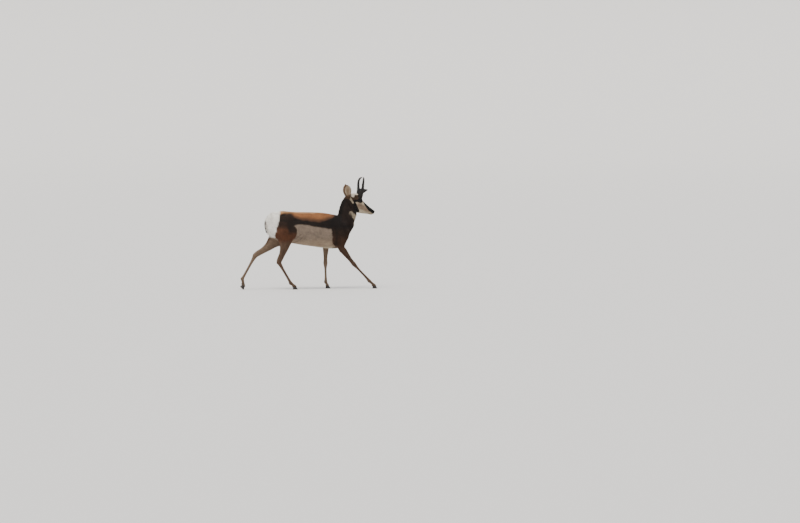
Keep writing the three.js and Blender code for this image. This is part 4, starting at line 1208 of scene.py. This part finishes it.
def horn_mesh(name, side):
    x, y, z = HORN_ROOT
    beam = [(x + forward, side * (spread + wide), z + (HORN_TOP - z) * share, back, front, half)
            for rows, spread in ((BEAM_FOOT, y), (BEAM_HEAD, HORN_SPREAD))
            for share, forward, wide, front, back, half in rows]
    out = side * (y + PRONG_OUT)
    prong = [(x + forward, out, PRONG_HEIGHT + up, *sizes) for forward, up, *sizes in PRONG_ROWS]
    pieces = [tube_mesh(name, horn_rings(beam, 150, 44, 0.9), HEAD_TURN),
              tube_mesh(name, horn_rings(prong, 44, 32, 0.7), HEAD_TURN)]
    whole = cast(name, pieces, HORN_GRAIN)
    for piece in pieces:
        bpy.data.meshes.remove(piece)
    junction = in_space(np.array([(x + 12, out, PRONG_HEIGHT - 4)]), HEAD_TURN)[0]
    near = np.linalg.norm(in_millimetres(whole) - junction, axis=1)
    rounds = 1.5 + 10 * (1 - step(near, 18, 44))
    placed = eased(mesh_points(whole), mesh_edges(whole), rounds, keep_size=True)
    set_points(whole, placed - mesh_normals(whole) * BRIDGE)
    whole.shade_smooth()
    return whole


horn_finish, tree, surface = new_finish("horn_keratin", {"Specular IOR Level": 0.35})
place = add(tree, "TexCoord", {}).outputs["Object"]
place = add(tree, "Mapping", {"Vector": place, "Scale": (330, 330, 34)}).outputs["Vector"]
fibres = add(tree, "TexNoise", {"Vector": place, "Scale": 1.0, "Detail": 6.0}).outputs["Fac"]
add_shade(tree, surface, painted(tree, "coat", "Color"), fibres, "MULTIPLY", 0.7)
add_roughness(tree, surface, painted(tree, "bare", "Fac"), 0.44, 0.82)
add_relief(tree, surface, fibres, 0.9, 0.0016)

horn_coats = []
for name, side in (("horn_right", -1), ("horn_left", 1)):
    sheath = horn_mesh(name + "_sheath", side)
    p = in_millimetres(sheath)
    share = (p[:, 2] - HORN_ROOT[2]) / (HORN_TOP - HORN_ROOT[2])
    prong = step(p[:, 0], HORN_ROOT[0] + 58, PRONG_TIP)
    low = 1 - step(share, 0.15, 0.6)
    tip = step(share, 0.86, 1.0) * step(np.abs(p[:, 1]), HORN_SPREAD + 6, HORN_SPREAD - 46)
    colour = over(plain(HORN_HIGH, p), (HORN_LOW, low), (HORN_TIP, 0.5 * tip),
                  (HORN_TIP, 0.35 * prong * step(prong, 0.4, 1)))
    colour = colour * (1 + 0.3 * wander(p * (6, 6, 1.1), 4))[:, None]
    paint(sheath, np.clip(colour, 0.002, 1), low)
    sheath.materials.append(horn_finish)
    put(name + "_sheath", sheath, "horn_sheath", name)
    horn_coats.append((p, mesh_normals(sheath), share))


# The hooves: two pointed claws on each foot, black keratin with fine growth lines round them,
# scuffed and dusty low down, and set under a fringe of hair at the coronet.
HOOF_GRAIN, GROWTH_LINE = 0.0017, 4.2
HOOF_HORN, HOOF_DUST, HOOF_TOP = linear(27, 22, 19), linear(80, 66, 53), linear(70, 56, 44)
hoof_finish, tree, surface = new_finish("hoof_keratin", {})
place = add(tree, "TexCoord", {}).outputs["Object"]
scuffs = add(tree, "TexNoise", {"Vector": place, "Scale": 160, "Detail": 5.0}).outputs["Fac"]
add_shade(tree, surface, painted(tree, "coat", "Color"), scuffs, "OVERLAY", 0.5)
add_roughness(tree, surface, scuffs, 0.36, 0.7)
add_relief(tree, surface, scuffs, 0.35, 0.0006)

for number, foot in HOOVES.items():
    for which in ("outer", "inner"):
        node = FLESH[number].replace("leg", "hoof") + "_" + which
        claw = cast(node + "_claw", [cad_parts[node].data], HOOF_GRAIN)
        p = eased(mesh_points(claw), mesh_edges(claw), 5, keep_size=True)
        set_points(claw, p)
        n = mesh_normals(claw)
        p = (p - n * BRIDGE) * 1000 - (FORWARD, 0, 0)
        ahead, _, up = in_space(p, foot.inverted()).T
        lines = 0.17 * np.sin((up + 0.12 * ahead) * 2 * math.pi / GROWTH_LINE) + 0.1 * np.sin(up * 3.1)
        wall = step(up, 3, 8) * (1 - step(up, 26, 32))
        local = in_space(p + n * (lines * wall)[:, None], foot.inverted())
        squeeze = 1 - 0.22 * step(local[:, 2], 24, 40)
        local[:, 2] += 6.0 * step(local[:, 2], 22, 36) * (1 - 0.5 * step(local[:, 0], 6, 30))
        local[:, 0] *= squeeze
        p = in_space(local, foot)
        p[:, 2] = np.maximum(p[:, 2], 0.0)
        set_points(claw, to_metres(p))
        claw.shade_smooth()
        ahead, _, up = local.T
        colour = over(plain(HOOF_HORN, p), (HOOF_DUST, 0.6 * step(up, 9, 1)),
                      (HOOF_TOP, 0.5 * step(up, 26, 34)))
        uneven = 0.12 * np.sin(up * 1.5 + 0.2 * ahead) + 0.1 * wander(p * 3, 5)
        paint(claw, colour * (1 + uneven)[:, None])
        claw.materials.append(hoof_finish)
        put(node + "_claw", claw, "hoof_horn", node)


# The coat: tufts of hair as thin solid wisps that lie along the body, bent ones on trunk, neck and
# thighs, long on rump, nape, throat and belly, and small straight ones on the legs and the face.
# Hair shades with the body under it, so a wisp's normals lean between its own and the skin's.
BODY_TUFTS, SMALL_TUFTS, EAR_TUFTS, HORN_TUFTS, HOOF_TUFTS = 88000, 120000, 5200, 900, 480
BENT_IN_PIECE, STRAIGHT_IN_PIECE = 18500, 46250
WISP_THICK, OWN_NORMAL, PATCH = 0.38, 0.38, 0.003
# A bent wisp has a three-sided foot, a middle and a point, a straight one a foot and a point:
# faces, a painted shade from foot to point (darkest at the foot, lighter at the point), and
# places in the wisp's own patch of the layout.
BENT = ([(0, 2, 1), (0, 1, 4, 3), (1, 2, 5, 4), (2, 0, 3, 5), (3, 4, 6), (4, 5, 6), (5, 3, 6)],
        [0.84, 0.84, 0.88, 0.99, 0.99, 1.01, 1.1],
        [(0, 0), (1, 0), (0.5, 0.4), (0.1, 0.5), (0.9, 0.5), (0.5, 0.6), (0.5, 1)])
STRAIGHT = ([(0, 2, 1), (0, 1, 3), (1, 2, 3), (2, 0, 3)], [0.9, 0.9, 0.95, 1.08],
            [(0, 0), (1, 0), (0.5, 0.35), (0.5, 1)])
wisp_finish = hair_finish("coat_tufts", "OFBake", 0.5, 0.25, 0.15, 0.78)
chance = np.random.default_rng(29)


def triangles_of(mesh):
    mesh.calc_loop_triangles()
    return numbers_of(mesh.loop_triangles, "vertices", 3, np.int32)


def scatter(points, triangles, weight, count):
    """Roots spread over a mesh: for each, the corners of its triangle and its share of each."""
    a, b, c = (points[triangles[:, k]] for k in range(3))
    area = np.linalg.norm(np.cross(b - a, c - a), axis=1) * weight[triangles].mean(1)
    total = np.cumsum(area)
    # even steps with a random start in each keep the spacing regular
    picks = (np.arange(count) + chance.random(count)) / count * total[-1]
    chosen = np.searchsorted(total, picks).clip(0, len(triangles) - 1)
    r1, r2 = np.sqrt(chance.random(count)), chance.random(count)
    return triangles[chosen], np.stack([1 - r1, r1 * (1 - r2), r1 * r2], axis=1)


def blended(values, corners, shares):
    return np.einsum("ij...,ij->i...", values[corners], shares)


def tuft_mesh(name, wisps, bent):
    """Closed wisps, from the root, normal, flow, length, width, lift, colour and spot of each."""
    root, normal, flow = wisps["root"], wisps["normal"], wisps["flow"]
    length, width, lift = (wisps[key][:, None] for key in ("length", "width", "lift"))
    faces, foot_to_point_shade, patch = BENT if bent else STRAIGHT
    side, thick = unit(np.cross(normal, flow)) * width, normal * width * WISP_THICK
    sink = normal * np.minimum(1.2, 0.35 * width + 0.4)
    rows = [root - sink - side / 2, root - sink + side / 2, root + thick]
    if bent:
        rows[2] = rows[2] - flow * width * WISP_THICK * 0.4
        middle = root + flow * length * 0.46 + normal * (lift * 0.95 + 0.25)
        rows += [middle - side * 0.44, middle + side * 0.44, middle + thick * 0.9]
    rows.append(root + flow * length + normal * lift)
    count, corners = len(root), len(rows)
    pattern = np.concatenate([np.array(face) for face in faces])
    loops = (np.arange(count)[:, None] * corners + pattern).ravel()
    sizes = np.tile([len(face) for face in faces], count)
    starts = np.concatenate([[0], np.cumsum(sizes)[:-1]])
    mesh = bpy.data.meshes.new(name)
    mesh.vertices.add(count * corners)
    set_points(mesh, to_metres(np.stack(rows, axis=1).reshape(-1, 3)))
    mesh.loops.add(len(loops))
    mesh.loops.foreach_set("vertex_index", loops.astype(np.int32))
    mesh.polygons.add(len(starts))
    mesh.polygons.foreach_set("loop_start", starts.astype(np.int32))
    mesh.update(calc_edges=True)
    # Each wisp gets a random tone, times the painted shade that darkens it towards its foot.
    tone = (1 + 0.13 * chance.normal(size=(count, 1, 1)).clip(-2, 2)) * np.array(foot_to_point_shade)[None, :, None]
    paint(mesh, np.clip(wisps["colour"][:, None] * tone, 0.001, 0.97).reshape(-1, 3))
    square = wisps["spot"][:, None] + (np.array(patch) - 0.5)[None] * PATCH
    add_map(mesh, "OFBake", square.reshape(-1, 2)[loops])
    mesh.shade_smooth()
    body = np.repeat(wisps.get("calm", normal), corners, axis=0)
    mesh.normals_split_custom_set_from_vertices(unit(mesh_normals(mesh) * OWN_NORMAL + body).tolist())
    mesh.materials.append(wisp_finish)
    put(name, mesh, "coat")


# How long the hair is at every point of the skin.
trunk, on_neck, on_tail = part == TORSO, part == NECK, part == TAIL
x, wide, z = points[:, 0], np.abs(points[:, 1]), points[:, 2]
thickness = np.full(len(points), 200.0)
for number in JOINTS:
    thickness[part == number] = leg_thickness(points[part == number], number)
long_hair = np.where(on_neck, 13.0, 12.5)
long_hair += 8 * (step(z, 560, 480) + step(x, -390, -440)) * trunk
nape_edge = np.interp(z, *NAPE_EDGE)
long_hair += 11 * on_neck * step(x, nape_edge + 50, nape_edge + 15) * step(wide, 45, 20)
long_hair += 5 * on_neck * step(x, 455, 500)
on_leg = np.interp(thickness, [14, 22, 40, 80], [6.5, 8, 11, 15])
on_face = np.interp(-in_space(points, to_head)[:, 0], [0, 40, 150, 280, 350], [2.4, 3.2, 4.6, 6.5, 12])
long_hair = np.select([on_tail, part >= FORE_RIGHT, part == HEAD], [24.0, on_leg, on_face], long_hair)
long_hair = eased(long_hair[:, None], skin_edges, 10)[:, 0]

# The white rump flares, so the hair there shades with the broad form and not with every groove.
white_zone = eased(((trunk | on_tail) * step(x, -380, -430))[:, None], skin_edges, 10)
calm_normals = unit(normals + 5 * white_zone * eased(normals, skin_edges, 40))

body_zone = trunk | on_neck | on_tail | ((part >= FORE_RIGHT) & (thickness > 42))
body_share = eased(body_zone.astype(float)[:, None], skin_edges, 6)[:, 0]
growing = bare <= 0.25
skin_triangles = triangles_of(skin_mesh)


def grow(name, weight, count, bent, slimness):
    """Wisps over the skin, in pieces that run from one end of the layout to the other."""
    corners, shares = scatter(points, skin_triangles, weight, count)
    root, normal, flow, length, naked, settled, white, calm = (
        blended(values, corners, shares)
        for values in (points, normals, lie, long_hair, bare, lie_strength, white_zone, calm_normals))
    normal = unit(normal)
    flow += np.cross(normal, flow) * ((0.16 + 0.16 * white) * chance.normal(size=(count, 1)))
    flow = unit(across_surface(flow, normal))
    label = part[corners[:, 0]]
    length = length * chance.uniform(0.75, 1.2, count)
    astray = 0.28 * length * chance.normal(size=count).clip(-2, 2)
    colour = coat_colours(root + flow * astray[:, None], normal, label)
    width = length * slimness * chance.uniform(0.8, 1.2, count)
    length = length * np.interp(settled, [0.1, 0.5], [0.45, 1])
    lift = length * np.where(root[:, 0] < -375, 0.055, 0.14) * chance.uniform(0.6, 1.3, count)
    spot = layout(root, label)[0]
    wisps = {"root": root, "normal": normal, "flow": flow, "length": length, "width": width, "lift": lift,
             "colour": colour, "spot": spot, "calm": unit(calm)}
    order = np.argsort(spot[:, 0] + 3 * (label == HEAD), kind="stable")
    order = order[naked[order] < 0.3]
    in_piece = BENT_IN_PIECE if bent else STRAIGHT_IN_PIECE
    for k in range(0, len(order), in_piece):
        mine = order[k:k + in_piece]
        tuft_mesh(f"{name}_{k // in_piece + 1}", {key: value[mine] for key, value in wisps.items()}, bent)


body_weight = growing * body_share / np.maximum(long_hair, 8) ** 1.2 * (1 + 0.7 * step(x, -370, -400))
small_weight = growing * (1 - body_share) / np.maximum(long_hair, 3.5) ** 1.3
grow("coat_body", body_weight, BODY_TUFTS, True, 0.17)
grow("coat_short", small_weight, SMALL_TUFTS, False, 0.2)

# The ears: short fur on the back, longer pale hair inside along the rims.
for name, ear_mesh, p, colour, up in ear_coats:
    weight = 0.4 + 1.2 * ear_front * step(off_middle, 0.2, 0.45) + 0.4 * (1 - ear_front)
    corners, shares = scatter(p, triangles_of(ear_mesh), weight * step(up_ear, 0.1, 0.16), EAR_TUFTS)
    normal = unit(blended(mesh_normals(ear_mesh), corners, shares))
    inside = blended(ear_front, corners, shares)
    flow = up + 0.5 * inside[:, None] * normal + 0.12 * chance.normal(size=(EAR_TUFTS, 3))
    length = np.where(inside > 0.5, 13.0, 6.0) * chance.uniform(0.7, 1.2, EAR_TUFTS)
    length = length * np.interp(blended(up_ear, corners, shares), [0, 0.8, 1], [1.3, 0.9, 0.45])
    tint = blended(colour, corners, shares) * np.where(inside > 0.5, 1.12, 1.0)[:, None]
    tuft_mesh(f"{name}_fur", {
        "root": blended(p, corners, shares), "normal": normal,
        "flow": unit(0.3 * flow + 0.7 * across_surface(flow, normal)), "length": length,
        "width": length * 0.16, "lift": length * 0.14, "colour": tint,
        "spot": blended(ear_spots, corners, shares)}, False)

# Hair climbs over the foot of each horn, and hangs over the top of each claw.
fringes = []
for p, n, share in horn_coats:
    low = np.flatnonzero((share > -0.03) & (share < 0.24))
    odds = (1 - step(share[low], 0.02, 0.24)) ** 2
    mine = chance.choice(low, HORN_TUFTS, p=odds / odds.sum())
    flow = np.array((0.05, 0, 1.0)) + 0.14 * chance.normal(size=(HORN_TUFTS, 3))
    length = chance.uniform(5, 17, HORN_TUFTS)
    spot = np.array((0.9, 0.35)) + chance.uniform(-0.02, 0.02, (HORN_TUFTS, 2))
    fringes.append((p[mine], n[mine], flow, length, plain(MASK, mine), spot))
SECTORS, CORONET_DEPTH = 24, 8
for number, foot_place in HOOVES.items():
    local, spin = in_space(points, foot_place.inverted()), np.array(foot_place)[:3, :3]
    upright = np.hypot(*(normals @ spin)[:, :2].T) > 0.55
    foot = np.flatnonzero((part == number) & (local[:, 2] < 70) & upright)
    turn = np.arctan2(local[foot, 1], local[foot, 0]) / (2 * math.pi) + 0.5
    sector = (turn * (SECTORS - 0.1)).astype(int)
    edge = np.array([local[foot[sector == k], 2].min() for k in range(SECTORS)])
    coronet = np.zeros(len(points))
    coronet[foot[local[foot, 2] < edge[sector] + CORONET_DEPTH]] = 1.0
    corners, shares = scatter(points, skin_triangles, coronet, HOOF_TUFTS)
    root, out = blended(points, corners, shares), unit(blended(normals, corners, shares))
    flow = np.array((0.12, 0, -1.0)) @ spin.T + 0.16 * out + 0.1 * chance.normal(size=(HOOF_TUFTS, 3))
    length = chance.uniform(6, 11, HOOF_TUFTS)
    spot = layout(root, np.full(HOOF_TUFTS, number))[0]
    fringes.append((root, out, flow, length, leg_colours(root, out, number) * 0.85, spot))
root, normal, flow, length, colour, spot = (np.concatenate(kind) for kind in zip(*fringes))
tuft_mesh("coat_fringes", {
    "root": root, "normal": unit(normal), "flow": unit(flow), "length": length, "width": length * 0.17,
    "lift": length * 0.1, "colour": colour, "spot": spot}, False)
